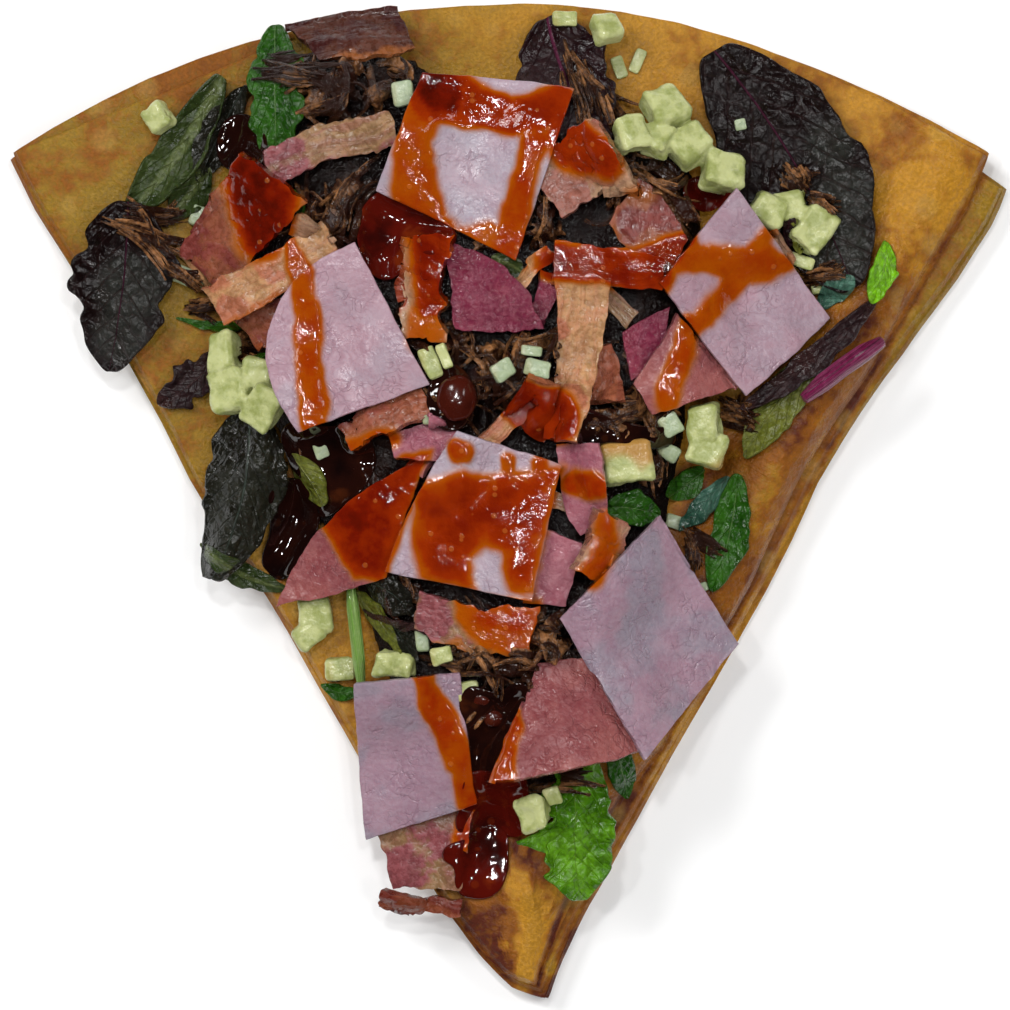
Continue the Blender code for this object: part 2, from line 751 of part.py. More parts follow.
LEAVES_LOW = (
    # name, kind, base, tip, width, bend, widest place, ruffle, waves, curl
    ("leaf_red_right", "dark_leaf", (40.5, 88.5), (67.5, 42), 26, 2.5, 0.55, 1.5, 1.5, 0.6),
    ("leaf_stalk_left", "green_leaf", (-55.5, 83.5), (-74, 56.5), 9.5, 1.5, 0.6, 0.8, 1.0, 1.2),
    ("leaf_red_left", "dark_leaf", (-73.5, 59), (-77.5, 26), 19.5, 0.8, 0.38, 1.2, 1.2, 0.8),
    ("leaf_dark_left", "dark_leaf", (-49.6, 18), (-57.2, -14.5), 15.5, 2.2, 0.25, 0.8, 1.0, -2.6),
    ("leaf_spinach_top", "green_leaf", (-45, 93.5), (-44.5, 63), 10.5, 0, 0.4, 0.8, 1.2, 0.8),
    ("leaf_red_top", "dark_leaf", (8, 95), (18, 68), 18, -1, 0.35, 1.4, 1.5, 0.5),
    ("leaf_tip_green", "green_leaf", (14.5, -47.5), (14, -77), 15.5, -1, 0.62, 1.8, 2.0, 0.8),
    ("leaf_green_side", "green_leaf", (45, 6), (40, -17), 8, 1, 0.55, 0.7, 1.0, 0.5),
    ("leaf_olive_side", "green_leaf", (63, 31), (46, 9), 9, -1, 0.6, 0.7, 1.0, 1.0),
    ("leaf_brown_side", "dark_leaf", (72, 40), (45, 18), 5.5, 1.5, 0.5, 0.6, 1.5, 0.8),
    ("leaf_lime_side", "green_leaf", (74, 51), (71, 39), 5, 0.5, 0.6, 0.6, 1.5, 0.2),
    ("leaf_dark_low_left", "dark_leaf", (-55, 30), (-68, 19.5), 8, 1, 0.6, 1.0, 1.5, 0.4),
    ("leaf_green_mid", "green_leaf", (19, -0.5), (30, -2), 7, 0.5, 0.5, 0.7, 1.0, 0.8),
)

CHEESE = {
    # each block: x, y, width, depth, height, turn
    "cheese_top_right": (
        (30.6, 77.0, 7.2, 8.2, 6.0, 20), (35.4, 69.6, 8.4, 7.8, 6.2, 30), (29.2, 70.6, 6.6, 6.4, 5.0, 55),
        (24.4, 71.6, 6.6, 7.0, 4.6, 12), (41.6, 64.6, 7.6, 7.4, 6.0, -15),
    ),
    "cheese_right": (
        (50.6, 57.2, 6.6, 6.8, 5.6, -28), (55.2, 58.0, 6.2, 5.8, 4.8, 10), (59.6, 53.6, 7.0, 9.0, 5.0, -38),
    ),
    "cheese_mid_right": ((38.2, 15.8, 6.2, 7.6, 6.4, 12), (39.0, 10.8, 7.8, 7.2, 6.0, -20)),
    "cheese_sauced": ((23.0, 8.0, 9.4, 8.0, 5.0, 8),),
    "cheese_left": (
        (-53.2, 22.4, 7.6, 8.4, 6.0, 20), (-48.2, 25.0, 6.4, 6.2, 5.4, -10), (-46.6, 19.0, 8.6, 6.8, 5.6, 55),
        (-54.8, 29.2, 5.8, 8.4, 5.2, 10),
    ),
    "cheese_rim_left": ((-67.4, 75.4, 5.0, 5.6, 4.2, 35),),
    "cheese_low_left": ((-37.2, -21.4, 6.0, 7.6, 3.6, 12), (-38.6, -25.2, 6.6, 4.8, 3.4, 40)),
    "cheese_low_mid": ((-21.8, -31.4, 8.0, 5.2, 4.4, -6),),
    "cheese_tip": ((5.2, -59.6, 6.2, 6.2, 5.6, 22),),
    "cheese_rim_top": ((19.2, 92.6, 5.6, 5.6, 4.6, 15),),
}  # fmt: skip

BUNDLES = (
    # name, centre, length, turn, count
    ("beef_bundle_left", (-70.0, 57.5), 17, -18, 4),
    ("beef_bundle_tip", (9.0, -51.5), 19, 14, 4),
    ("beef_bundle_side", (38.0, -8.5), 12, -48, 3),
)

FLAT = (0, 0, 0, 0)
SLICES_LOW = (
    # name, corners, thickness, flex, bulges of the sides
    ("cooked_ham_rim", ((-43, 93), (-21, 96.5), (-18.5, 88), (-36, 86)), COOKED_HAM, 0.5, (0.5, 0, 1, 0)),
    ("cooked_ham_wine", ((-12, 51), (0, 46), (7.5, 34), (-10, 34)), 2.6, 0.6, (0.5, 1, 1, 0)),
    ("cooked_ham_fold", ((31.5, 38.5), (22, 33.5), (24, 24), (29, 27)), COOKED_HAM, 0.4, FLAT),
    ("cooked_ham_sauced", ((33, 37), (44.5, 22.5), (28.5, 17.5), (24.5, 23.5)), COOKED_HAM, 0.4, FLAT),
    ("cooked_ham_mid", ((10, 12), (18, 12), (20, -2), (12, -8)), COOKED_HAM, 0.5, FLAT),
    ("cooked_ham_left", ((-15, 10), (-36.5, -2), (-44.5, -20), (-23, -14)), COOKED_HAM, 0.45, (0, 0, 0.5, 0)),
    ("cooked_ham_tab", ((5, -3.5), (14.5, -7.5), (11.5, -19.5), (3, -19)), COOKED_HAM, 0.4, FLAT),
    ("cooked_ham_low", ((6, -31), (16, -30), (27, -47.5), (-3, -54)), COOKED_HAM, 0.4, (0.4, 0, 0.8, 0)),
    ("bacon_left_under", ((-52.5, 37), (-43, 40), (-41.5, 31), (-47.2, 30)), BACON, 0.5, FLAT),
    ("bacon_right_flat", ((26, 64), (35.5, 51.5), (30, 42.5), (19.5, 54.5)), BACON, 0.5, (0.5, 0, 0.6, 0)),
    ("cooked_ham_left_tab", ((-23, 13.5), (-9, 16.8), (-10, 8), (-21.4, 8.6)), COOKED_HAM, 0.4, FLAT),
    ("bacon_fat_low", ((-25, -62), (-6.5, -59), (-9, -75.5), (-22, -74.5)), BACON, 0.7, FLAT),
)

STRIPS = (
    # name, kind, base, tip, width, bend, end shares, waves, wave height, thickness
    ("bacon_rim", "bacon", (-46, 64.5), (-21.5, 73), 7.6, 1.6, (1, 0.85), 0.9, 1.4, 2.2),
    ("bacon_left_wide", "bacon", (-59, 45.5), (-44.5, 63.5), 14.5, 0, (0.8, 1.1), 0.6, 0.8, BACON),
    ("bacon_left_strip", "bacon", (-56.5, 38.5), (-33.5, 52), 9, -0.8, (1, 0.8), 0.8, 1.2, BACON),
    ("bacon_right_lump", "bacon", (8.5, 59), (22, 68), 14, 1.5, (0.7, 1.1), 0.7, 1.2, 2.6),
    ("bacon_under_left", "bacon", (-31, 12.5), (-15.5, 20), 6.5, 0.6, (0.8, 1.1), 0.7, 0.8, BACON),
    ("bacon_saucy", "bacon", (9, 46.5), (30.5, 44.5), 7.6, 1.0, (1.1, 0.8), 0.7, 1.0, BACON),
    ("bacon_mid_left", "bacon", (-14.5, 52), (-15.5, 32), 8.4, -1.0, (1.1, 0.9), 1.1, 1.4, 2.2),
    ("bacon_centre_low", "bacon", (-5, 11.5), (6, 20), 3.6, 0.4, (1, 1), 0.6, 0.7, BACON),
    ("bacon_upright", "bacon", (14.8, 44.5), (11.3, 12.2), 9.5, 0.8, (1.15, 0.55), 0.8, 1.0, 2.2),
    ("bacon_lump", "bacon", (19.5, -2), (14.5, -13.5), 8, 1.0, (0.9, 0.7), 0.5, 0.8, 3.0),
    ("bacon_under_slice", "bacon", (-17, -20.5), (5, -24.5), 9.5, -1.5, (0.75, 1.1), 0.8, 1.0, BACON),
    ("bacon_crust_tip", "bacon", (-23.5, -75.8), (-8.5, -78.6), 2.8, -0.6, (0.8, 1.1), 0.6, 0.5, 2.6),
)

HAM_SLICES = (
    # name, corners, bulges, sauce spines (start, end, bend, width)
    ("ham_top", ((-16.5, 83.5), (13.2, 80.2), (1.8, 47.2), (-25.2, 61)), (0.6, 0, 0, 0),
     (((-14.5, 82), (10.5, 75), -4.0, 8.0), ((-19, 75), (-18, 57), 0.5, 7.0),
      ((7, 72), (0.5, 52.5), -0.5, 5.5))),
    ("ham_left", ((-29.3, 50.8), (-14.9, 23.2), (-40.2, 13.8), (-44.6, 40.6)), (0, 0, 4.0, 0.9),
     (((-39.6, 46), (-37, 16), 0.4, 6.2),)),
    ("ham_right", ((44.4, 61.4), (62.8, 36.4), (46.1, 21), (29.2, 42.8)), (0, 0.4, 0, 0),
     (((33.5, 46.5), (52.5, 46.5), -0.8, 6.5), ((46.5, 45), (38, 34.5), 0.6, 3.6))),
    ("ham_centre", ((-9.6, 14.4), (10.6, 7.8), (5, -18.8), (-23.6, -12.9)), (0, 0, 0, 1.2),
     (((-15.5, -3), (5.5, -5.5), 1.0, 19.0), ((-9.5, 11), (-8.5, 7), 0, 4.5))),
    ("ham_lower_right", ((29, -2.4), (44.8, -27), (26.4, -49.4), (10.6, -21.6)), (0, 0, 0, 0), ()),
    ("ham_lower_left", ((-29.2, -34.4), (-9, -32.4), (-5.6, -58), (-27.3, -65.2)), (0, 0, 0, 0.4),
     (((-16.5, -33.5), (-8.8, -53.5), 0.6, 4.2),)),
)  # fmt: skip


def lay_leaves(pile):
    """The salad leaves round the heap, and its two stalks."""
    for name, kind, base, tip, width, bend, widest, height, waves, curl in LEAVES_LOW:
        shape = strip(base, tip, width, bend, leaf_profile(widest))
        cells = (7, 4) if width > 9 else (5, 2)
        lay_sheet(
            pile, name, shape, kind, LEAF, cells, flex=0.85, reach=3.5,
            lift=ruffle(height, waves, base[0], curl),
        )  # fmt: skip
    lay_stem(pile, "stem_purple", "stem", (73.2, 31.8), (57.5, 20.4), 1.9)
    lay_stem(pile, "stem_green", "green_leaf", (-30.4, -15.5), (-28.2, -35.5), 1.3)


def lay_stem(pile, name, kind, start, end, radius):
    """A leaf stalk that lies on the pile."""
    shares = np.linspace(0, 1, 5)
    x = start[0] + (end[0] - start[0]) * shares
    y = start[1] + (end[1] - start[1]) * shares + 0.6 * np.sin(math.pi * shares)
    a, b, c = resting_plane(x, y, pile.at(x, y))
    z = a * x + b * y + c + radius
    stem = tube(name, np.column_stack((x, y, z)), radius, kind, FOOD)
    pile.settle(stem)


def lay_meat(pile):
    """Cooked ham, bacon and last the pale ham slices with their sauce."""
    for name, corners, thickness, flex, bulges in SLICES_LOW:
        kind = "bacon" if name.startswith("bacon") else "cooked_ham"
        lay_sheet(pile, name, patch(corners, bulges), kind, thickness, (3, 3), flex, 4.5)
    for name, kind, base, tip, width, bend, ends, waves, height, thickness in STRIPS:
        shape = strip(base, tip, width, bend, taper(*ends))
        lift = corrugate(height, waves, base[1])
        cells = (6, 2) if width < 9 else (5, 3)
        lay_sheet(pile, name, shape, kind, thickness, cells, 0.55, 4.0, lift)
    for name, corners, bulges, sauce in HAM_SLICES:
        slice_ = lay_sheet(pile, name, patch(corners, bulges), "ham", HAM, (5, 5), 0.45, 6.0)
        if sauce:
            pour_sauce(pile, slice_, sauce)


def main():
    pile = Pile()
    build_crepe(pile)
    build_heap(pile)
    lay_leaves(pile)
    for name, dice in CHEESE.items():
        lay_cheese(pile, name, dice)
    for bundle in BUNDLES:
        lay_bundle(pile, *bundle)
    lay_meat(pile)


FOOD, FUSED = start_scene()
main()
bpy.data.collections.remove(FUSED)
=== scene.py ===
import math

import bpy
import numpy as np
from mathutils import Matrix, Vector
from mathutils.bvhtree import BVHTree


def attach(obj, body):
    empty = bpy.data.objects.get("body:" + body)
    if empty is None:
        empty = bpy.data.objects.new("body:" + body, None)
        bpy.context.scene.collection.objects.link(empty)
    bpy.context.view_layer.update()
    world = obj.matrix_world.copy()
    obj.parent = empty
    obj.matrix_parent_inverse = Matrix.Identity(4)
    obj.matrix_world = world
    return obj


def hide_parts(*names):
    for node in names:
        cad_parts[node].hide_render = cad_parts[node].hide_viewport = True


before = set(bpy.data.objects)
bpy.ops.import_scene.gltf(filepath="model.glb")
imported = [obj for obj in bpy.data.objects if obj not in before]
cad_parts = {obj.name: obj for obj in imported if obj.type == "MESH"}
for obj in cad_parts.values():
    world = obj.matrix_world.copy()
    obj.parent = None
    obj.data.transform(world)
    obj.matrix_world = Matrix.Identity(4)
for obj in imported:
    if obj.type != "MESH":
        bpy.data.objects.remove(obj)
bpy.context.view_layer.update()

# Lengths in the dictionaries are millimetres, and mm turns them into metres.
# The wedge's tip points to -Y, its round edge to +Y and its rolled side to +X.
mm = 0.001
apex = (3.8, -106.0)          # where the two straight sides would meet
rightAngle = 29.4             # degrees from +Y to the rolled side
gridStep = 0.5                # of the height maps
gridHalf = 104.0


# Working tools

def selectOnly(piece):
    bpy.ops.object.select_all(action="DESELECT")
    piece.select_set(True)
    bpy.context.view_layer.objects.active = piece


def applyModifiers(piece):
    selectOnly(piece)
    for modifier in list(piece.modifiers):
        bpy.ops.object.modifier_apply(modifier=modifier.name)


def modify(piece, kind, **values):
    modifier = piece.modifiers.new(kind.lower(), kind)
    for name, value in values.items():
        setattr(modifier, name, value)
    return modifier


def subdivide(piece, levels, corners=False, kind="CATMULL_CLARK"):
    modify(piece, "SUBSURF", levels=levels, render_levels=levels, subdivision_type=kind,
           boundary_smooth="PRESERVE_CORNERS" if corners else "ALL")
    applyModifiers(piece)


def smoothPiece(piece, rounds):
    modify(piece, "SMOOTH", factor=0.5, iterations=rounds)
    applyModifiers(piece)


def remesh(piece, size, rounds, kept=1.0):
    # one even skin, smoothed, then thinned to a share of its faces
    modify(piece, "REMESH", mode="VOXEL", voxel_size=size * mm)
    modify(piece, "SMOOTH", factor=0.5, iterations=rounds)
    if kept < 1:
        modify(piece, "DECIMATE", ratio=kept)
    applyModifiers(piece)


def readVectors(items, name):
    values = np.empty(len(items) * 3)
    items.foreach_get(name, values)
    return values.reshape(-1, 3)


def pointsOf(piece):
    return readVectors(piece.data.vertices, "co") / mm


def normalsOf(piece):
    return readVectors(piece.data.vertex_normals, "vector")


def movePoints(piece, points):
    piece.data.vertices.foreach_set("co", (np.asarray(points) * mm).ravel())
    piece.data.update()


def newObject(name, data):
    piece = bpy.data.objects.new(name, data)
    bpy.context.scene.collection.objects.link(piece)
    return piece


def newPrimitive(name, addShape, **values):
    bpy.ops.object.select_all(action="DESELECT")
    addShape(location=(0, 0, 0), **values)
    bpy.context.object.name = name
    return bpy.context.object


def nodeCopy(node, name):
    # a merged copy of a CAD node, back in quads
    piece = newObject(name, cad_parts[node].data.copy())
    piece.data.materials.clear()
    selectOnly(piece)
    bpy.ops.object.mode_set(mode="EDIT")
    bpy.ops.mesh.select_all(action="SELECT")
    bpy.ops.mesh.remove_doubles(threshold=0.00001)
    bpy.ops.mesh.tris_convert_to_quads(face_threshold=0.9, shape_threshold=0.9)
    bpy.ops.object.mode_set(mode="OBJECT")
    return piece


def undersideOf(node, name):
    # the sheet that a slice or leaf was thickened from
    piece = nodeCopy(node, name)
    bpy.ops.object.mode_set(mode="EDIT")
    bpy.ops.mesh.select_all(action="DESELECT")
    bpy.ops.object.mode_set(mode="OBJECT")
    for face in piece.data.polygons:
        face.select = face.normal.z > -0.3
    bpy.ops.object.mode_set(mode="EDIT")
    bpy.ops.mesh.delete(type="FACE")
    bpy.ops.mesh.select_all(action="SELECT")
    bpy.ops.mesh.flip_normals()
    bpy.ops.mesh.separate(type="LOOSE")
    bpy.ops.object.mode_set(mode="OBJECT")
    # the largest part is the sheet, the rest are undersides of the sauce on it
    parts = sorted(bpy.context.selected_objects,
                   key=lambda part: sum(face.area for face in part.data.polygons))
    for part in parts[:-1]:
        bpy.data.objects.remove(part)
    parts[-1].name = name
    return parts[-1]


def thicken(piece, thickness, bevel=0.2):
    modify(piece, "SOLIDIFY", thickness=thickness * mm, offset=1.0, use_even_offset=False)
    if bevel:
        modify(piece, "BEVEL", width=bevel * mm, segments=2, limit_method="ANGLE",
               angle_limit=math.radians(50))
    applyModifiers(piece)


def writeMap(piece, u, v):
    # the piece's UV map, from two values at each point
    corners = np.empty(len(piece.data.loops), int)
    piece.data.loops.foreach_get("vertex_index", corners)
    layer = piece.data.uv_layers.active or piece.data.uv_layers.new(name="along")
    layer.data.foreach_set("uv", np.column_stack((u, v))[corners].ravel())


def alongAxis(piece, base, tip, bend=0.0):
    # UV map: u runs from base to tip, v across from -1 to 1 at the widest place
    base, tip = np.array(base, float), np.array(tip, float)
    run = tip - base
    length = np.hypot(*run)
    side = np.array((-run[1], run[0])) / length
    flat = pointsOf(piece)[:, :2] - base
    u = flat @ run / length**2
    across = flat @ side - bend * 4 * np.clip(u, 0, 1) * (1 - np.clip(u, 0, 1))
    v = across / max(1e-6, np.abs(across).max())
    writeMap(piece, u, v)
    return u, v, side


def paintMask(piece, name, values):
    # a value from 0 to 1 at each point, for the materials
    layer = piece.data.attributes.get(name) or piece.data.attributes.new(name, "FLOAT", "POINT")
    layer.data.foreach_set("value", np.clip(values, 0, 1).astype(np.float32))


def softNoise(points, size, seed=0.0):
    # -1 to 1, with humps about size millimetres wide, from a hash of the corners of each cell
    place = np.asarray(points, float) / size + 1000 + seed * 17.31
    cell = np.floor(place).astype(np.int64)
    t = place - cell
    t = t * t * (3 - 2 * t)
    total = np.zeros(len(place))
    for corner in range(8):
        step = np.array((corner & 1, corner >> 1 & 1, corner >> 2 & 1))
        keys = (cell + step).astype(np.uint64) * np.array((73856093, 19349663, 83492791), np.uint64)
        mixed = keys[:, 0] ^ keys[:, 1] ^ keys[:, 2]
        mixed = (mixed ^ mixed >> np.uint64(13)) * np.uint64(1274126177) >> np.uint64(7)
        weight = np.where(step, t, 1 - t).prod(1)
        total += weight * ((mixed & np.uint64(65535)).astype(float) / 32767.5 - 1)
    return total


def softShift(points, size, *seeds):
    # a soft noise of its own for each way
    return np.column_stack([softNoise(points, size, seed) for seed in seeds])


def ramp(low, high, x):
    t = np.clip((np.asarray(x, float) - low) / (high - low), 0, 1)
    return t * t * (3 - 2 * t)


def spotMask(points, x, y, radius, core=0.5):
    # 1 within the core of a round spot, 0 outside it
    return 1 - ramp(radius * core, radius, np.hypot(points[:, 0] - x, points[:, 1] - y))


def finishPiece(piece, material, nodes=(), smooth=60, onto=None):
    piece.data.materials.clear()
    piece.data.materials.append(look[material])
    selectOnly(piece)
    bpy.ops.object.shade_smooth_by_angle(angle=math.radians(smooth))
    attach(piece, "root")
    if nodes:
        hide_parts(*nodes)
    if onto is not None:
        mapRays(onto, piece.data)


# Height maps of the pile

gridPlaces = np.arange(-gridHalf, gridHalf + gridStep / 2, gridStep)


def newMap(value):
    return np.full((len(gridPlaces), len(gridPlaces)), float(value))


def gridIndex(x):
    return np.clip(np.rint((np.asarray(x) + gridHalf) / gridStep).astype(int), 1, len(gridPlaces) - 2)


def mapRays(target, mesh, fromAbove=True):
    # raises (or lowers) a map to the mesh, seen from above (or from below)
    points = readVectors(mesh.vertices, "co")
    tree = BVHTree.FromPolygons([tuple(p) for p in points], [tuple(f.vertices) for f in mesh.polygons])
    low, high = gridIndex(points.min(0)[:2] / mm), gridIndex(points.max(0)[:2] / mm)
    start, aim, nearer = (0.1, Vector((0, 0, -1)), max) if fromAbove else (-0.1, Vector((0, 0, 1)), min)
    for i in range(low[0], high[0] + 1):
        for j in range(low[1], high[1] + 1):
            hit = tree.ray_cast(Vector((gridPlaces[i] * mm, gridPlaces[j] * mm, start)), aim)[0]
            if hit:
                target[i, j] = nearer(target[i, j], hit.z / mm)


def readMap(values, spots, step=gridStep):
    # a map's values at spots, in straight lines between the grid's own places
    x, y = np.asarray(spots, float).T[:2]
    fx, fy = (np.clip((way + gridHalf) / step, 0, len(values) - 1.001) for way in (x, y))
    i, j = fx.astype(int), fy.astype(int)
    a, b = fx - i, fy - j
    return ((1 - a) * (1 - b) * values[i, j] + a * (1 - b) * values[i + 1, j]
            + (1 - a) * b * values[i, j + 1] + a * b * values[i + 1, j + 1])


def blurred(values, rounds):
    values = values.copy()
    for _ in range(rounds):
        values[1:-1] = (values[:-2] + 2 * values[1:-1] + values[2:]) / 4
        values[:, 1:-1] = (values[:, :-2] + 2 * values[:, 1:-1] + values[:, 2:]) / 4
    return values


# Shader tools

class Shade:
    # a value or colour in a recipe, which adds and multiplies like a number
    def __init__(self, recipe, socket):
        self.recipe, self.socket = recipe, socket

    def __add__(self, other):
        return self.recipe.calculate("ADD", self, other)

    def __sub__(self, other):
        return self.recipe.calculate("SUBTRACT", self, other)

    def __rsub__(self, other):
        return self.recipe.calculate("SUBTRACT", other, self)

    def __mul__(self, other):
        return self.recipe.calculate("MULTIPLY", self, other)

    def __truediv__(self, other):
        return self.recipe.calculate("DIVIDE", self, other)

    def __rtruediv__(self, other):
        return self.recipe.calculate("DIVIDE", other, self)

    def __abs__(self):
        return self.recipe.calculate("ABSOLUTE", self)

    def stretch(self, low, high, toLow=0.0, toHigh=1.0):
        # a smooth step from low to high
        limits = {"Value": self, "From Min": low, "From Max": high, "To Min": toLow, "To Max": toHigh}
        return self.recipe.take("Result", "ShaderNodeMapRange", limits, interpolation_type="SMOOTHSTEP")


class Recipe:
    # a material's or a group's node tree, with the steps that they share
    def __init__(self, tree):
        self.tree = tree
        self.coordinates = None

    def fill(self, socket, value):
        # links a shade to a socket, or writes a plain value into it
        if isinstance(value, Shade):
            self.tree.links.new(value.socket, socket)
        else:
            socket.default_value = (*value, 1) if socket.type == "RGBA" else value

    def add(self, kind, inputs=None, **values):
        node = self.tree.nodes.new(kind)
        for name, value in values.items():
            setattr(node, name, value)
        for name, value in (inputs or {}).items():
            self.fill(node.inputs[name], value)
        return node

    def take(self, output, kind, inputs=None, **values):
        return Shade(self, self.add(kind, inputs, **values).outputs[output])

    def calculate(self, operation, *values):
        return self.take(0, "ShaderNodeMath", dict(enumerate(values)), operation=operation)

    @property
    def place(self):
        if not self.coordinates:
            self.coordinates = self.take("Object", "ShaderNodeTexCoord")
        return self.coordinates

    def ownMap(self):
        # the piece's UV map, along it and across
        uv = self.add("ShaderNodeSeparateXYZ", {0: self.take(0, "ShaderNodeUVMap")})
        return Shade(self, uv.outputs[0]), Shade(self, uv.outputs[1])

    def mask(self, name):
        return self.take("Fac", "ShaderNodeAttribute", attribute_name=name)

    def noise(self, place, scale, **more):
        return self.take("Fac", "ShaderNodeTexNoise", {"Vector": place, "Scale": scale, **more})

    def use(self, group, **inputs):
        # a group's outputs by name, and a group that asks for a place gets the recipe's own
        node = self.add("ShaderNodeGroup", inputs, node_tree=group)
        if "Place" in node.inputs:
            self.fill(node.inputs["Place"], self.place)
        return {socket.name: Shade(self, socket) for socket in node.outputs}

    def patches(self, size, low, high):
        return self.use(mottle, Size=size, Low=low, High=high)["Mask"]

    def threads(self, across, along, seed, low, high):
        return self.use(streaks, Across=across, Along=along, Seed=seed, Low=low, High=high)["Mask"]

    def dots(self, scale, share, outer, inner):
        # round bits in those cells whose random number is above the share
        cells = self.add("ShaderNodeTexVoronoi", {"Vector": self.place, "Scale": scale})
        pick = self.take(0, "ShaderNodeSeparateColor", {0: Shade(self, cells.outputs["Color"])})
        shown = self.calculate("GREATER_THAN", pick, share)
        return shown * Shade(self, cells.outputs["Distance"]).stretch(outer, inner)

    def mix(self, factor, first, second, blend="MIX"):
        inputs = {0: factor, 6: first, 7: second}
        return self.take(2, "ShaderNodeMix", inputs, data_type="RGBA", blend_type=blend)

    def layers(self, colour, *over):
        # lays colours over the first one, each where its mask says
        for mask, other in over:
            colour = self.mix(mask, colour, other)
        return colour

    def darken(self, colour, mask, low, high):
        # multiplies a colour by a grey that runs from low to high with the mask
        grey = mask * (high - low) + low
        shade = self.take(0, "ShaderNodeCombineColor", {0: grey, 1: grey, 2: grey})
        return self.mix(1.0, colour, shade, "MULTIPLY")

    def sauced(self, colour):
        # sauce where the film attribute says, with a clear coat over it
        film = self.use(sauceFilm, Bare=colour, Film=self.mask("film"))
        self.fill(self.shader.inputs["Coat Weight"], film["Wet"] * 0.25)
        return film["Colour"], film["Wet"], film["Lumps"]

    def closeGroup(self, **values):
        for name, value in values.items():
            self.fill(self.out[name], value)
        return self.tree

    def finish(self, colour, rough, height, strength, distance):
        # joins colour, roughness and bump to the material's shader
        bump = {"Height": height, "Strength": strength, "Distance": distance * mm}
        self.fill(self.shader.inputs["Base Color"], colour)
        self.fill(self.shader.inputs["Roughness"], rough)
        self.fill(self.shader.inputs["Normal"], self.take(0, "ShaderNodeBump", bump))
        return self.material


def newMaterial(name, **values):
    material = bpy.data.materials.new(name)
    material.use_nodes = True
    made = Recipe(material.node_tree)
    made.material, made.shader = material, material.node_tree.nodes["Principled BSDF"]
    for socket, value in values.items():
        made.shader.inputs[socket.replace("_", " ")].default_value = value
    return made


def newGroup(name, inputs, outputs):
    kinds = {"Place": "NodeSocketVector", "Bare": "NodeSocketColor", "Colour": "NodeSocketColor"}
    tree = bpy.data.node_groups.new(name, "ShaderNodeTree")
    for socket, value in inputs.items():
        kind = kinds.get(socket, "NodeSocketFloat")
        newSocket = tree.interface.new_socket(name=socket, in_out="INPUT", socket_type=kind)
        if value is not None:
            newSocket.default_value = value
    for socket in outputs:
        kind = kinds.get(socket, "NodeSocketFloat")
        tree.interface.new_socket(name=socket, in_out="OUTPUT", socket_type=kind)
    made = Recipe(tree)
    given = {socket.name: Shade(made, socket) for socket in made.add("NodeGroupInput").outputs}
    made.coordinates, made.out = given.get("Place"), made.add("NodeGroupOutput").inputs
    return made, given


def buildMottle():
    # soft patches of a given size in millimetres
    made, given = newGroup("mottle", {"Place": None, "Size": 5.0, "Low": 0.4, "High": 0.6}, ["Mask"])
    spots = made.noise(made.place, 1000.0 / given["Size"], Detail=3.0, Roughness=0.55)
    return made.closeGroup(Mask=spots.stretch(given["Low"], given["High"]))


def buildStreaks():
    # long streaks along a piece's own UV map
    inputs = {"Across": 6.0, "Along": 1.2, "Seed": 0.0, "Low": 0.4, "High": 0.6}
    made, given = newGroup("streaks", inputs, ["Mask"])
    u, v = made.ownMap()
    place = {0: u * given["Along"], 1: v * given["Across"], 2: given["Seed"]}
    bands = made.noise(made.take(0, "ShaderNodeCombineXYZ", place), 1.0, Detail=4.0, Distortion=0.4)
    return made.closeGroup(Mask=bands.stretch(given["Low"], given["High"]))


def buildVeins():
    # a leaf's midrib and slanting side veins, from its own UV map
    made, given = newGroup("leafVeins", {"Pairs": 7.0, "Slant": 1.6, "Rib": 0.06}, ["Rib", "Side"])
    u, v = made.ownMap()
    across = abs(v)
    wobble = made.noise(made.place, 160.0, Detail=1.0) * 0.35 - 0.17
    phase = u * given["Pairs"] + wobble - across * given["Slant"]
    side = 1.0 - abs(made.calculate("FRACT", phase) - 0.5) / (across * -0.05 + 0.1)
    rib = 1.0 - across / ((u * -0.7 + 1.0) * given["Rib"])
    side, rib = (made.calculate("MAXIMUM", line, 0.0) for line in (side, rib))
    return made.closeGroup(Side=side, Rib=rib)


def buildCreases():
    # thin wandering lines between cells of a given size in millimetres
    made, given = newGroup("creases", {"Place": None, "Size": 3.0, "Width": 0.08}, ["Lines", "Cell"])
    warp = made.take("Color", "ShaderNodeTexNoise", {"Vector": made.place, "Scale": 320.0, "Detail": 2.0})
    shift = made.take(0, "ShaderNodeVectorMath", {0: warp, 1: (0.003, 0.003, 0.003)}, operation="MULTIPLY")
    place = made.take(0, "ShaderNodeVectorMath", {0: made.place, 1: shift}, operation="ADD")
    away = made.take("Distance", "ShaderNodeTexVoronoi", {"Vector": place, "Scale": 1000.0 / given["Size"]},
                     feature="DISTANCE_TO_EDGE")
    lines = 1.0 - made.calculate("MINIMUM", away / given["Width"], 1.0)
    return made.closeGroup(Lines=lines, Cell=made.calculate("MINIMUM", away * 3.0, 1.0))


def buildWrinkles():
    # thin curling lines of a given spacing in millimetres
    made, given = newGroup("wrinkles", {"Place": None, "Size": 3.0, "Width": 0.03}, ["Lines"])
    off = abs(made.noise(made.place, 1000.0 / given["Size"], Detail=1.5, Distortion=1.4) - 0.5)
    return made.closeGroup(Lines=1.0 - made.calculate("MINIMUM", off / given["Width"], 1.0))


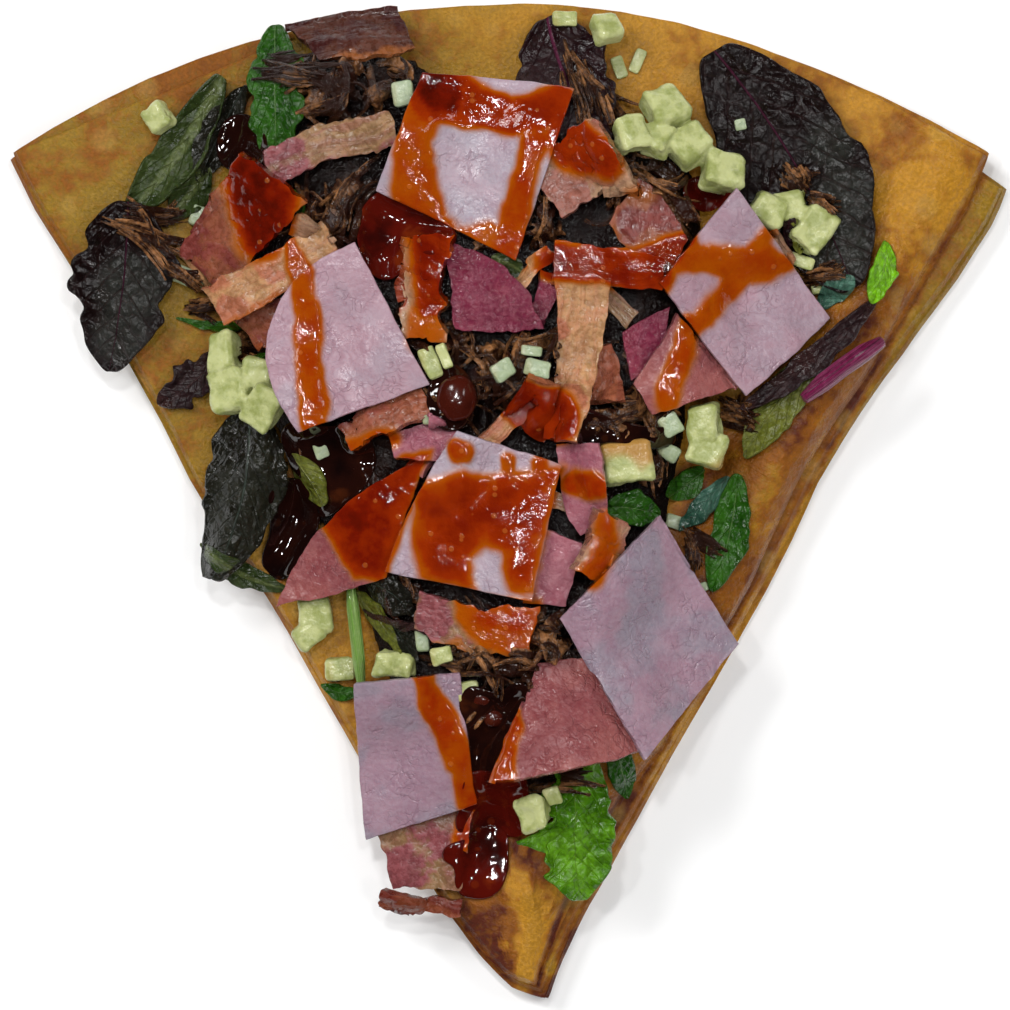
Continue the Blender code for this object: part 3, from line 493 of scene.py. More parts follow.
def buildSauceFilm():
    # sauce over a bare colour: thin is orange and lets it through, thick is dark red
    made, given = newGroup("sauceFilm", {"Bare": None, "Film": 0.0}, ["Colour", "Wet", "Lumps"])
    wide, small = made.patches(4.5, 0.3, 0.7), made.patches(1.5, 0.3, 0.7)
    stops = made.add("ShaderNodeValToRGB", {"Fac": given["Film"] * (wide * 0.3 + 0.85)})
    run = stops.color_ramp.elements
    for spot, colour in ((0.0, (0.36, 0.15, 0.035)), (0.28, (0.32, 0.065, 0.001)),
                         (0.5, (0.24, 0.020, 0.001)), (0.72, (0.13, 0.006, 0.001)),
                         (1.0, (0.025, 0.002, 0.001))):
        stop = run.new(spot) if 0.0 < spot < 1.0 else run[-int(spot)]
        stop.color = (*colour, 1)
    wet = given["Film"].stretch(0.0, 0.32)
    bits = made.dots(480.0, 0.8, 0.3, 0.2) * wet
    colour = made.layers(given["Bare"], (wet, Shade(made, stops.outputs["Color"])),
                         (bits * 0.35, (0.44, 0.12, 0.02)))
    return made.closeGroup(Colour=colour, Wet=wet, Lumps=(small * 0.4 + wide) * wet + bits)


mottle, streaks, leafVeins = buildMottle(), buildStreaks(), buildVeins()
creases, wrinkles, sauceFilm = buildCreases(), buildWrinkles(), buildSauceFilm()


# Materials

def crepeMaterial():
    golden, pale, brown = (0.40, 0.185, 0.016), (0.20, 0.125, 0.010), (0.21, 0.068, 0.007)
    burnt, spot = (0.075, 0.014, 0.006), (0.42, 0.26, 0.06)
    made = newMaterial("bakedBatter", Specular_IOR_Level=0.25)
    large, small = made.patches(11.0, 0.34, 0.68), made.patches(2.4, 0.32, 0.7)
    grain = made.patches(0.7, 0.3, 0.72)
    roll, spots = made.mask("roll"), made.dots(130.0, 0.62, 0.42, 0.2)
    # the browning mask holds toasting and also painted shade in the folds, and the paleness mask also a
    # painted highlight on the roll's crest
    toasted = large * 0.6 + small * 0.4 + grain * 0.22 + made.mask("browning") * 2.0 - 0.6
    colour = made.layers(golden, (made.mask("paleness"), pale), (toasted.stretch(0.0, 0.85), brown),
                         (toasted.stretch(0.85, 1.5), burnt), (spots * 0.3, spot))
    height = small + grain * 0.8 + made.threads(9.0, 0.8, 2.0, 0.3, 0.7) * roll * 0.9 + spots * 0.5
    rough = roll * -0.14 + large.stretch(0.0, 1.0, 0.36, 0.54)
    return made.finish(made.darken(colour, grain, 0.8, 1.14), rough, height, 0.65, 0.22)


def meatMaterial(name, flesh, cool, deep, pale, sparkle, crease, creaseSize, wetness=0.35):
    # sliced ham, with sauce where the film attribute says
    made = newMaterial(name, Specular_IOR_Level=0.45, Subsurface_Weight=0.1, Subsurface_Scale=0.0015,
                       Subsurface_Radius=(1.0, 0.4, 0.3), Coat_Roughness=0.05)
    mid, fine = made.patches(4.4, 0.36, 0.7), made.patches(0.9, 0.34, 0.68)
    patch = made.patches(7.0, 0.46, 0.58)
    # torn and curled lines: below they also darken the colour, as painted shade in the creases
    torn = made.use(creases, Size=creaseSize, Width=0.09)["Lines"] * patch
    curled = made.use(wrinkles, Size=3.4, Width=0.022)["Lines"] * (patch * 0.8 + 0.2)
    # the grey-blue patches are partly the meat's own grey and partly a painted sheen
    colour = made.layers(flesh, (made.patches(15.0, 0.42, 0.58), cool), (mid * 0.45, deep),
                         (fine * 0.18, pale), (torn * 0.3, deep), (curled * 0.22, deep))
    colour, wet, lumps = made.sauced(colour)
    dry = made.patches(5.0, 0.4, 0.62).stretch(0.0, 1.0, wetness - 0.12, wetness + 0.16)
    height = mid * 0.9 + curled * -0.7 + torn * -crease + fine * sparkle
    return made.finish(colour, dry * (wet * -0.8 + 1.0), height * (1.0 - wet) + lumps * 0.55, 0.6, 0.3)


def baconMaterial(name, fat, lean, rind):
    # fat and lean from the lean attribute, browned at the rind, sauce from the film attribute
    made = newMaterial(name, Specular_IOR_Level=0.5, Subsurface_Weight=0.08, Subsurface_Scale=0.0015,
                       Coat_Roughness=0.06)
    mid, fine = made.patches(4.0, 0.38, 0.64), made.patches(1.0, 0.34, 0.68)
    grain = made.threads(3.4, 1.4, 3.0, 0.4, 0.62)
    leanness, edge = ((mid - 0.5) * 0.5 + made.mask(name) for name in ("lean", "rind"))
    colour = made.layers(fat, (leanness.stretch(0.25, 0.75), lean), (grain * 0.4, lean))
    colour = made.mix(edge.stretch(0.3, 0.9), made.darken(colour, mid, 0.86, 1.12), rind)
    colour, wet, lumps = made.sauced(made.darken(colour, fine, 0.84, 1.1))
    rough = fine.stretch(0.0, 1.0, 0.18, 0.5) * (wet * -0.75 + 1.0)
    height = (grain * 0.9 + fine * 0.3 + mid * 0.6) * (wet * -0.7 + 1.0) + lumps * 0.8
    return made.finish(colour, rough, height, 0.5, 0.28)


def beefMaterial(name, light, dark, gloss):
    made = newMaterial(name, Specular_IOR_Level=gloss)
    grain = made.threads(7.0, 2.0, 2.0, 0.35, 0.65)
    fine, wide = made.patches(0.9, 0.3, 0.7), made.patches(7.0, 0.4, 0.6)
    tone = made.mask("shade") * 0.7 + grain * 0.4 + fine * 0.3 + wide * 0.35 - 0.5
    colour = made.mix(tone.stretch(0.2, 1.15), dark, light)
    return made.finish(colour, wide.stretch(0.0, 1.0, 0.14, 0.3), grain + fine, 0.8, 0.25)


def cheeseMaterial(name, light, deep):
    made = newMaterial(name, Specular_IOR_Level=0.5, Subsurface_Weight=0.15, Subsurface_Scale=0.001,
                       Subsurface_Radius=(1.0, 0.9, 0.5))
    wide, fine = made.patches(3.4, 0.4, 0.62), made.patches(0.8, 0.34, 0.68)
    colour = made.layers(light, (wide, deep), (fine * 0.18, (0.50, 0.53, 0.31)),
                         (made.mask("stain"), (0.36, 0.16, 0.03)))
    return made.finish(colour, wide.stretch(0.0, 1.0, 0.14, 0.36), wide * 0.9 + fine * 0.35, 0.4, 0.3)


def leafMaterial(name, blade, other, rib, vein, roughness, pairs, ribWidth, veinShow, gloss=0.5):
    # two tones in patches, a midrib and side veins, and a crinkled net between them
    made = newMaterial(name, Specular_IOR_Level=gloss, Subsurface_Weight=0.03, Subsurface_Scale=0.001)
    lines = made.use(leafVeins, Pairs=pairs, Slant=2.4, Rib=ribWidth)
    net = made.use(creases, Size=3.4, Width=0.13)
    wide, fine = made.patches(9.0, 0.38, 0.62), made.patches(1.1, 0.3, 0.7)
    colour = made.layers(blade, (wide, other), (made.mask("tone"), (0.030, 0.032, 0.027)),
                         (net["Lines"] * (veinShow * 0.6), vein), (lines["Side"] * veinShow, vein),
                         (lines["Rib"].stretch(0.0, 0.6), rib))
    rough = wide.stretch(0.0, 1.0, roughness - 0.14, roughness + 0.1)
    height = net["Cell"] * 1.2 + fine * 0.35 - lines["Side"] * 0.6 + lines["Rib"]
    return made.finish(made.darken(colour, fine, 0.72, 1.2), rough, height, 0.8, 0.45)


def stemMaterial(name, skin, groove, shine):
    made = newMaterial(name, Specular_IOR_Level=0.5, Coat_Weight=0.2)
    ribs, lines = made.threads(9.0, 0.25, 4.0, 0.4, 0.6), made.threads(15.0, 0.15, 9.0, 0.56, 0.62)
    # pale streaks and specks along the stem are a painted highlight
    colour = made.layers(skin, (ribs, groove), (made.patches(1.0, 0.45, 0.7) * 0.2, shine),
                         (lines * 0.4, shine))
    return made.finish(colour, 0.28, ribs, 0.8, 0.35)


def sauceMaterial(name, thin, body, deep, roughness=0.08):
    # pools of sauce: lighter where the film attribute is low
    made = newMaterial(name, Specular_IOR_Level=0.5, Coat_Weight=0.25, Coat_Roughness=0.03)
    wide, bits = made.patches(4.5, 0.3, 0.7), made.dots(360.0, 0.78, 0.36, 0.2)
    depth = wide * 0.35 + made.mask("film") - 0.17
    colour = made.layers(thin, (depth.stretch(0.0, 0.35), body), (depth.stretch(0.4, 1.0), deep),
                         (bits * 0.3, thin))
    return made.finish(colour, roughness, wide * 0.8 + bits * 0.6, 0.16, 0.3)


meats = {
    # look: material, flesh, grey patches that also stand for a painted sheen, deep patches, pale specks,
    # sparkle, crease, its size, wetness
    "ham": ("paleHam", (0.35, 0.265, 0.31), (0.31, 0.26, 0.305), (0.29, 0.18, 0.225), (0.47, 0.42, 0.46),
            0.2, 0.7, 4.0),
    "rosyHam": ("rosyHam", (0.34, 0.21, 0.25), (0.29, 0.205, 0.245), (0.27, 0.14, 0.18), (0.44, 0.36, 0.40),
                0.2, 0.7, 4.0),
    "greyHam": ("greyHam", (0.29, 0.175, 0.22), (0.22, 0.18, 0.22), (0.21, 0.11, 0.155), (0.39, 0.33, 0.37),
                0.2, 0.7, 3.4),
    "darkHam": ("darkHam", (0.26, 0.078, 0.072), (0.20, 0.052, 0.056), (0.14, 0.024, 0.03),
                (0.42, 0.19, 0.18), 0.3, 0.7, 3.0, 0.26),
    "pinkHam": ("pinkHam", (0.30, 0.10, 0.125), (0.25, 0.07, 0.10), (0.18, 0.035, 0.06), (0.50, 0.27, 0.30),
                0.4, 0.5, 3.4, 0.25),
    "wineHam": ("wineHam", (0.19, 0.022, 0.045), (0.14, 0.012, 0.035), (0.08, 0.006, 0.018),
                (0.42, 0.16, 0.20), 1.0, 0.5, 3.0, 0.16),
}
bacons = {
    # look: material, fat, lean, rind
    "bacon": ("friedBacon", (0.39, 0.205, 0.09), (0.30, 0.10, 0.05), (0.30, 0.08, 0.016)),
    "pinkBacon": ("pinkBacon", (0.24, 0.135, 0.062), (0.19, 0.05, 0.055), (0.26, 0.075, 0.010)),
    "redBacon": ("redBacon", (0.26, 0.078, 0.038), (0.15, 0.030, 0.024), (0.26, 0.06, 0.02)),
    "rimBacon": ("rimBacon", (0.085, 0.029, 0.018), (0.038, 0.009, 0.008), (0.22, 0.07, 0.02)),
    "crustBacon": ("crustBacon", (0.20, 0.05, 0.022), (0.11, 0.016, 0.009), (0.08, 0.012, 0.006)),
    "tanBacon": ("tanBacon", (0.34, 0.20, 0.12), (0.24, 0.085, 0.06), (0.20, 0.03, 0.012)),
}
beefs = {
    # look: material, light fibres, dark fibres, gloss
    "beef": ("pulledBeef", (0.39, 0.17, 0.06), (0.018, 0.005, 0.0025), 0.65),
    # the core under the shreds is coloured near-black, as painted shade in the gaps between them
    "beefCore": ("beefJuices", (0.022, 0.008, 0.005), (0.003, 0.001, 0.001), 0.25),
}
cheeses = {
    # look: material, light, deep patches
    "cheese": ("dicedCheese", (0.43, 0.45, 0.20), (0.25, 0.28, 0.08)),
    "cloudyCheese": ("cloudyCheese", (0.30, 0.36, 0.24), (0.24, 0.30, 0.17)),
}
leaves = {
    # look: blade, other patches, midrib, veins, roughness, vein pairs, midrib's width, veins' strength, gloss
    "redLeaf": ((0.005, 0.002, 0.002), (0.008, 0.005, 0.005), (0.045, 0.010, 0.022), (0.022, 0.011, 0.011),
                0.3, 7.0, 0.03, 0.4, 0.35),
    "bandedLeaf": ((0.010, 0.003, 0.004), (0.018, 0.006, 0.007), (0.09, 0.015, 0.04), (0.025, 0.010, 0.012),
                   0.36, 7.0, 0.07, 0.35),
    "nightLeaf": ((0.007, 0.006, 0.004), (0.013, 0.013, 0.008), (0.04, 0.05, 0.04), (0.02, 0.022, 0.016),
                  0.28, 6.0, 0.05, 0.3),
    "stalkLeaf": ((0.018, 0.030, 0.007), (0.028, 0.042, 0.009), (0.075, 0.095, 0.03), (0.045, 0.065, 0.016),
                  0.38, 6.0, 0.42, 0.5),
    "spinachLeaf": ((0.008, 0.045, 0.002), (0.018, 0.078, 0.003), (0.12, 0.22, 0.07), (0.035, 0.12, 0.012),
                    0.3, 6.0, 0.06, 0.4),
    "brightLeaf": ((0.030, 0.105, 0.002), (0.085, 0.23, 0.004), (0.14, 0.28, 0.03), (0.12, 0.29, 0.015),
                   0.3, 8.0, 0.02, 0.3, 0.6),
    "oliveLeaf": ((0.085, 0.095, 0.010), (0.12, 0.13, 0.018), (0.17, 0.18, 0.05), (0.15, 0.16, 0.035),
                  0.42, 7.0, 0.08, 0.5),
    "brownLeaf": ((0.030, 0.013, 0.012), (0.014, 0.005, 0.006), (0.06, 0.03, 0.03), (0.045, 0.02, 0.02),
                  0.36, 8.0, 0.06, 0.35),
    "limeLeaf": ((0.14, 0.36, 0.004), (0.10, 0.27, 0.004), (0.24, 0.44, 0.05), (0.2, 0.42, 0.03),
                 0.4, 4.0, 0.08, 0.4),
    "tealLeaf": ((0.012, 0.045, 0.028), (0.05, 0.13, 0.09), (0.10, 0.2, 0.15), (0.09, 0.18, 0.13),
                 0.3, 6.0, 0.05, 0.4, 0.6),
}
stems = {
    # look: skin, grooves, painted highlight streaks
    "purpleStem": ((0.22, 0.006, 0.07), (0.04, 0.001, 0.012), (0.42, 0.12, 0.24)),
    "greenStem": ((0.30, 0.46, 0.12), (0.10, 0.26, 0.015), (0.50, 0.60, 0.32)),
}
sauces = {
    # look: material, thin, body, deep, roughness
    "redSauce": ("redSauce", (0.16, 0.02, 0.003), (0.07, 0.004, 0.002), (0.02, 0.002, 0.0015)),
    "darkSauce": ("darkSauce", (0.045, 0.010, 0.003), (0.012, 0.003, 0.002), (0.004, 0.0015, 0.0015), 0.05),
    "glaze": ("glazedMeat", (0.09, 0.018, 0.007), (0.045, 0.006, 0.003), (0.02, 0.003, 0.002), 0.16),
}
look = {"crepe": crepeMaterial()}
for buildMaterial, table in ((meatMaterial, meats), (baconMaterial, bacons), (beefMaterial, beefs),
                             (cheeseMaterial, cheeses), (sauceMaterial, sauces)):
    look.update({name: buildMaterial(*values) for name, values in table.items()})
for buildMaterial, table in ((leafMaterial, leaves), (stemMaterial, stems)):
    look.update({name: buildMaterial(name, *values) for name, values in table.items()})
print("materials done")


# Floor, light and camera

stageLook = {
    "floorSize": 3.0, "floorHeight": -0.0002, "floor": (0.90, 0.90, 0.90), "roomLight": 0.14,
    # the camera's height in metres, its sensor, the picture's side and middle in pixels,
    # and the millimetres that a pixel is wide at the level of the food
    "height": 1.4, "sensor": 36, "picture": 1010, "pixelX": 506.5, "pixelY": 504.5, "pixel": 0.195,
    "level": 12.0,
}
lamps = (
    # name, place in metres, size, power, seen in reflections
    ("softLeft", (-0.85, 0.60, 1.0), 0.5, 10.5, False), ("softRight", (0.90, 0.45, 0.9), 0.6, 6.0, False),
    ("softFront", (0.1, -0.95, 1.0), 0.6, 5.2, False),
    ("sheenLeft", (-0.50, 0.62, 0.95), 0.14, 1.2, True), ("sheenRight", (0.55, 0.40, 1.0), 0.12, 0.4, True),
    ("glintFar", (-0.12, 0.36, 1.10), 0.07, 2.4, True), ("glintNear", (0.14, 0.20, 1.25), 0.055, 1.7, True),
    ("glintLeft", (-0.38, 0.14, 1.15), 0.055, 1.4, True), ("glintBack", (0.30, -0.22, 1.15), 0.045, 0.8,
                                                           True),
)


def buildStage():
    floor = newPrimitive("floor", bpy.ops.mesh.primitive_plane_add, size=stageLook["floorSize"])
    floor.location.z = stageLook["floorHeight"]
    material = newMaterial("paleFloor", Roughness=0.7, Base_Color=(*stageLook["floor"], 1)).material
    floor.data.materials.append(material)
    for name, spot, size, power, mirrored in lamps:
        bpy.ops.object.light_add(type="AREA", location=spot)
        lamp = bpy.context.object
        lamp.name = name
        lamp.data.size = size
        lamp.data.energy = power
        lamp.visible_glossy = mirrored
        lamp.rotation_euler = (-Vector(spot)).to_track_quat("-Z", "Y").to_euler()
    world = bpy.data.worlds.new("softRoom")
    bpy.context.scene.world = world
    world.use_nodes = True
    world.cycles_visibility.glossy = False
    background = world.node_tree.nodes["Background"]
    background.inputs["Color"].default_value = (1.0, 1.0, 1.0, 1)
    background.inputs["Strength"].default_value = stageLook["roomLight"]
    bpy.ops.object.camera_add(location=(0, 0, stageLook["height"]))
    camera = bpy.context.object
    half = stageLook["picture"] / 2
    camera.location.x = (half - stageLook["pixelX"]) * stageLook["pixel"] * mm
    camera.location.y = (stageLook["pixelY"] - half) * stageLook["pixel"] * mm
    wide = stageLook["picture"] * stageLook["pixel"] * mm
    camera.data.sensor_width = stageLook["sensor"]
    camera.data.lens = stageLook["sensor"] * (stageLook["height"] - stageLook["level"] * mm) / wide
    bpy.context.scene.camera = camera
    bpy.context.scene.view_settings.view_transform = "Standard"


buildStage()
print("stage done")


# Where the sauce lies

sauceStep = 0.3
saucePlaces = np.arange(-gridHalf, gridHalf + sauceStep / 2, sauceStep)
sauceX, sauceY = (values.ravel() for values in np.meshgrid(saucePlaces, saucePlaces, indexing="ij"))

sauceRuns = {
    # run: film at its middle, soft edge, knots (x, y, half width)
    "topBand": (0.60, 2.8, ((-14, 79, 5.6), (-7, 77.6, 5.0), (0, 75, 3.8), (6, 76, 4.4), (10.6, 79.6, 2.8))),
    "topBlob": (0.86, 4.0, ((-14.8, 82.6, 4.4), (-12.2, 79.2, 4.8))),
    "topLeft": (0.40, 3.0, ((-16, 77, 4.8), (-18.2, 70, 3.8), (-18.4, 62, 4.8), (-16.4, 55, 5.0))),
    "topRight": (0.46, 2.4, ((6.4, 75, 3.6), (5.2, 68, 2.8), (3.2, 62, 2.6), (2.0, 56, 3.0), (0, 49, 4.4))),
    "topFoot": (0.36, 2.4, ((-8.5, 51.0, 2.4), (-3, 50.6, 4.0), (1, 49.4, 3.6))),
    "leftRibbon": (0.42, 1.8, ((-42.4, 52, 1.2), (-41.2, 48, 2.0), (-39.4, 44, 2.3), (-38.6, 38, 2.8),
                               (-38.1, 30, 2.9), (-37.6, 22, 3.2), (-37.3, 16, 3.2))),
    "rightBar": (0.40, 2.6, ((30.5, 45.6, 2.4), (38, 47.6, 3.2), (44, 47, 3.6), (50, 46.4, 4.2),
                             (54.5, 46.6, 2.0))),
    "rightHorn": (0.34, 2.4, ((49, 50, 2.6), (51.5, 54, 1.4))),
    "rightLeg": (0.38, 2.4, ((45.5, 45, 3.0), (41.5, 40.5, 2.4), (38.4, 36, 2.5), (36.4, 33.4, 1.6))),
    "centreDrop": (0.46, 1.6, ((-9.0, 10.8, 2.4), (-8.6, 9.2, 2.2))),
    "centreDropSmall": (0.40, 1.4, ((0.2, 9.0, 1.5), (0.2, 6.0, 1.6))),
    "centreRight": (0.40, 2.0, ((6.2, 8.0, 1.8), (7.6, 4.0, 2.4))),
    "lowRibbon": (0.46, 1.8, ((-16.6, -33.0, 2.2), (-14.6, -38, 2.9), (-12.0, -43, 3.3), (-9.6, -48, 3.2),
                              (-7.4, -53, 2.6), (-6.4, -58, 3.0))),
    "wideTop": (0.80, 6.0, ((-48.4, 63, 6.4), (-46.6, 57, 6.6), (-47.6, 51, 4.0))),
    "lumpRight": (0.58, 3.4, ((10.5, 75, 4.0), (13.5, 69, 5.0), (19.6, 66, 3.4))),
    "flatFoot": (0.62, 3.2, ((25.4, 45, 4.0), (31.6, 48.6, 3.6), (35, 51, 2.0))),
    "flatHead": (0.26, 5.0, ((24.0, 60.5, 1.6), (27.6, 60.5, 1.6))),
    "saucy": (0.64, 3.0, ((9.5, 46.5, 4.0), (18, 46.4, 4.2), (29, 44.0, 4.0))),
    "saucyEdge": (0.34, 2.0, ((10, 52, 2.4), (19, 51, 2.4))),
    "midLeft": (0.66, 5.0, ((-14.4, 51, 5.0), (-13.8, 45, 4.8), (-14.6, 39, 3.6))),
    "midLeftFoot": (0.30, 2.4, ((-15.0, 37, 4.4), (-15.4, 32, 4.4))),
    "saucedFold": (0.42, 2.6, ((35.4, 34.4, 2.2), (33.2, 28, 2.6), (30.6, 20.6, 2.4))),
    "midTab": (0.52, 2.6, ((13.0, 4.6, 2.6), (16.6, 3.4, 3.2))),
    "lump": (0.42, 3.2, ((19.4, -3.0, 2.0), (19.6, -8, 2.6), (16.4, -13.0, 3.0))),
    "lowEdge": (0.46, 2.0, ((1.6, -40.4, 1.3), (0.6, -46, 1.9), (-1.0, -52.6, 2.4))),
    "underLeft": (0.40, 3.0, ((-30, 11, 3.0), (-22, 13, 1.8))),
    "fatLow": (0.50, 3.0, ((-7.0, -60.6, 2.4), (-8.6, -66, 1.6))),
    "flapRed": (0.66, 3.0, ((2.0, 20, 4.6), (8.6, 17, 6.0))),
}
sauceAreas = {
    # area: film, soft edge, outline
    "centre": (0.60, 3.4, ((-18.4, 3.4), (-12, 5.8), (-4, 6.0), (3, 6.4), (10.8, 7.4), (9.6, 0), (7.4, -8),
                           (5.2, -18), (2.6, -17.8), (0.2, -16.8), (-0.6, -13), (-1.4, -9.4), (-4, -7.4),
                           (-6.6, -10.4), (-6.0, -16.6), (-11, -15.6), (-16.6, -14.2), (-18.0, -5))),
    "darkLeft": (0.72, 2.6, ((-14.6, 10.6), (-20.0, 9.8), (-31.4, 2.6), (-37, -1.0), (-33.6, -7),
                             (-29.8, -14.6), (-24, -15), (-21.0, -9), (-17.8, 1.4))),
    "underSlice": (0.46, 2.4, ((-10.4, -17), (6.8, -18.6), (7.0, -24.6), (5.4, -29.6), (0, -30), (-5.4, -28),
                               (-9.8, -22.6))),
}


def fromLine(x, y, ax, ay, bx, by):
    # how far along a line the nearest point lies, from 0 to 1, and the distance to it
    run = np.array((bx - ax, by - ay))
    t = np.clip(((x - ax) * run[0] + (y - ay) * run[1]) / (run @ run), 0, 1)
    return t, np.hypot(x - ax - run[0] * t, y - ay - run[1] * t)


def runDepth(x, y, film, soft, knots):
    depth = np.zeros_like(x)
    for (ax, ay, aw), (bx, by, bw) in zip(knots, knots[1:]):
        t, away = fromLine(x, y, ax, ay, bx, by)
        wide = aw + (bw - aw) * t
        dome = 0.72 + 0.28 * np.sqrt(np.clip(1 - (away / wide) ** 2, 0, 1))
        depth = np.maximum(depth, ramp(-soft / 2, soft / 2, wide - away) * dome)
    return film * depth


def areaDepth(x, y, film, soft, outline):
    inside, nearest = np.zeros(len(x), bool), np.full(len(x), 1e9)
    for (ax, ay), (bx, by) in zip(outline, outline[1:] + outline[:1]):
        inside ^= ((ay > y) != (by > y)) & (x < (bx - ax) * (y - ay) / (by - ay + 1e-9) + ax)
        nearest = np.minimum(nearest, fromLine(x, y, ax, ay, bx, by)[1])
    signed = np.where(inside, nearest, -nearest)
    return film * ramp(-soft / 2, soft / 2, signed) * (0.74 + 0.26 * ramp(0, 5, signed))


def mapSauce():
    flat = np.column_stack((sauceX, sauceY, np.zeros(len(sauceX))))
    x = sauceX + 0.8 * softNoise(flat, 4.2, 1) + 0.35 * softNoise(flat, 1.6, 2)
    y = sauceY + 0.8 * softNoise(flat, 4.2, 3) + 0.35 * softNoise(flat, 1.6, 4)
    depth = np.zeros(len(x))
    reach = 16    # past a run's own knots, to save work
    for kind, table in ((runDepth, sauceRuns), (areaDepth, sauceAreas)):
        for film, soft, knots in table.values():
            middle, span = (value([knot[:2] for knot in knots], axis=0) for value in (np.mean, np.ptp))
            near = np.abs(x - middle[0]) < span[0] / 2 + reach
            near &= np.abs(y - middle[1]) < span[1] / 2 + reach
            depth[near] = np.maximum(depth[near], kind(x[near], y[near], film, soft, knots))
    return depth.reshape(len(saucePlaces), len(saucePlaces))


def paintFilm(piece, amount=1.0):
    film = readMap(sauceMap, pointsOf(piece), sauceStep) * amount
    paintMask(piece, "film", film)
    return film


sauceMap = mapSauce()
print("sauce map done")


# The folded pancake

crepeMarks = {
    # mark: browning and painted shade, paleness and painted highlight, rise, soft edge, knots (x, y, half
    # width)
    "tipBand": (-0.9, 0.15, 0.7, 1.8, ((4.0, -77, 1.3), (5.4, -82.4, 1.7), (3.8, -89.8, 1.7),
                                       (2.8, -94.9, 1.5))),
    # the tip's groove is browned darker as painted shade in the fold
    "tipGroove": (0.9, 0, -0.8, 1.0, ((12.4, -75.8, 0.5), (9.8, -82, 0.7), (6.9, -91.2, 0.7),
                                      (6.2, -94, 0.4))),
    "tipRing": (-0.8, 0.5, 0.2, 1.2, ((8.6, -89.6, 1.3), (8.8, -91.2, 1.2))),
    "toastUpper": (0.75, 0, 0, 4.0, ((2.4, -66.6, 2.6), (6.4, -69.6, 3.2))),
    "tipGold": (-0.5, 0, 0, 3.0, ((8.2, -76, 2.4), (6.4, -79, 1.0))),
    "toastMiddle": (0.35, 0, 0, 3.0, ((-1.4, -85, 1.6), (0.6, -89, 1.2))),
    "toastCentre": (0.32, 0, 0, 2.6, ((7.6, -72.0, 1.4), (7.2, -76.0, 1.2), (8.0, -79.4, 0.8))),
    "toastByRing": (0.34, 0, 0, 2.2, ((-2.6, -73.0, 1.0), (-1.8, -78.0, 1.2), (1.6, -80.4, 0.9),
                                      (1.0, -85.0, 0.8))),
    "toastStrip": (0.3, 0, 0, 1.8, ((9.8, -81, 0.9), (7.8, -85.4, 0.9))),
    "toastLow": (0.75, 0, 0, 4.6, ((-2.6, -79.4, 3.0), (-1.0, -82, 2.4))),
    "toastLeft": (0.7, 0, 0, 5.0, ((-9.4, -78, 2.2), (-5.0, -85.4, 3.0), (0.0, -92.4, 3.2),
                                   (5.0, -96.6, 2.4))),
    "toastRight": (0.6, 0, 0, 2.6, ((13.4, -84, 1.2), (9.6, -94, 1.6), (8.4, -98, 2.0))),
    "rollPatchLow": (0.35, 0, 0, 6.0, ((44, -5, 3.0), (36, -20, 3.5), (29, -34, 2.5))),
    "rollPatchHigh": (0.4, 0, 0, 6.0, ((72, 42, 3.0), (64, 28, 3.5), (56, 14, 3.0))),
    # a painted highlight along the crest of the roll: less brown and paler
    "rollPale": (-0.4, 0.5, 0, 5.0, ((52, 6, 2.4), (47, -3, 2.0))),
    "topPale": (-0.4, -0.3, 0, 7.0, ((-12, 97, 3.0), (-3, 92, 4.0), (6, 97, 3.0))),
}


rollSeam, rollCrown, rollFoot = 5.6, 13.5, 24.0     # from the rolled side
mapUnit = 12.0                                      # millimetres for each unit of the UV map
crepeBlisters = ((2.0, -74, 3.2), (7.4, -78.4, 1.8), (3.4, -66.6, 1.6), (-0.6, -86, 1.6))    # x, y, radius


def crepePlaces(points):
    # how far points are from the rolled side, along it, and from the tip
    turn = math.radians(rightAngle)
    x, y = points[:, 0] - apex[0], points[:, 1] - apex[1]
    return y * math.sin(turn) - x * math.cos(turn), x * math.sin(turn) + y * math.cos(turn), np.hypot(x, y)


def hump(x, middle, width):
    return np.exp(-((x - middle) / width) ** 2)


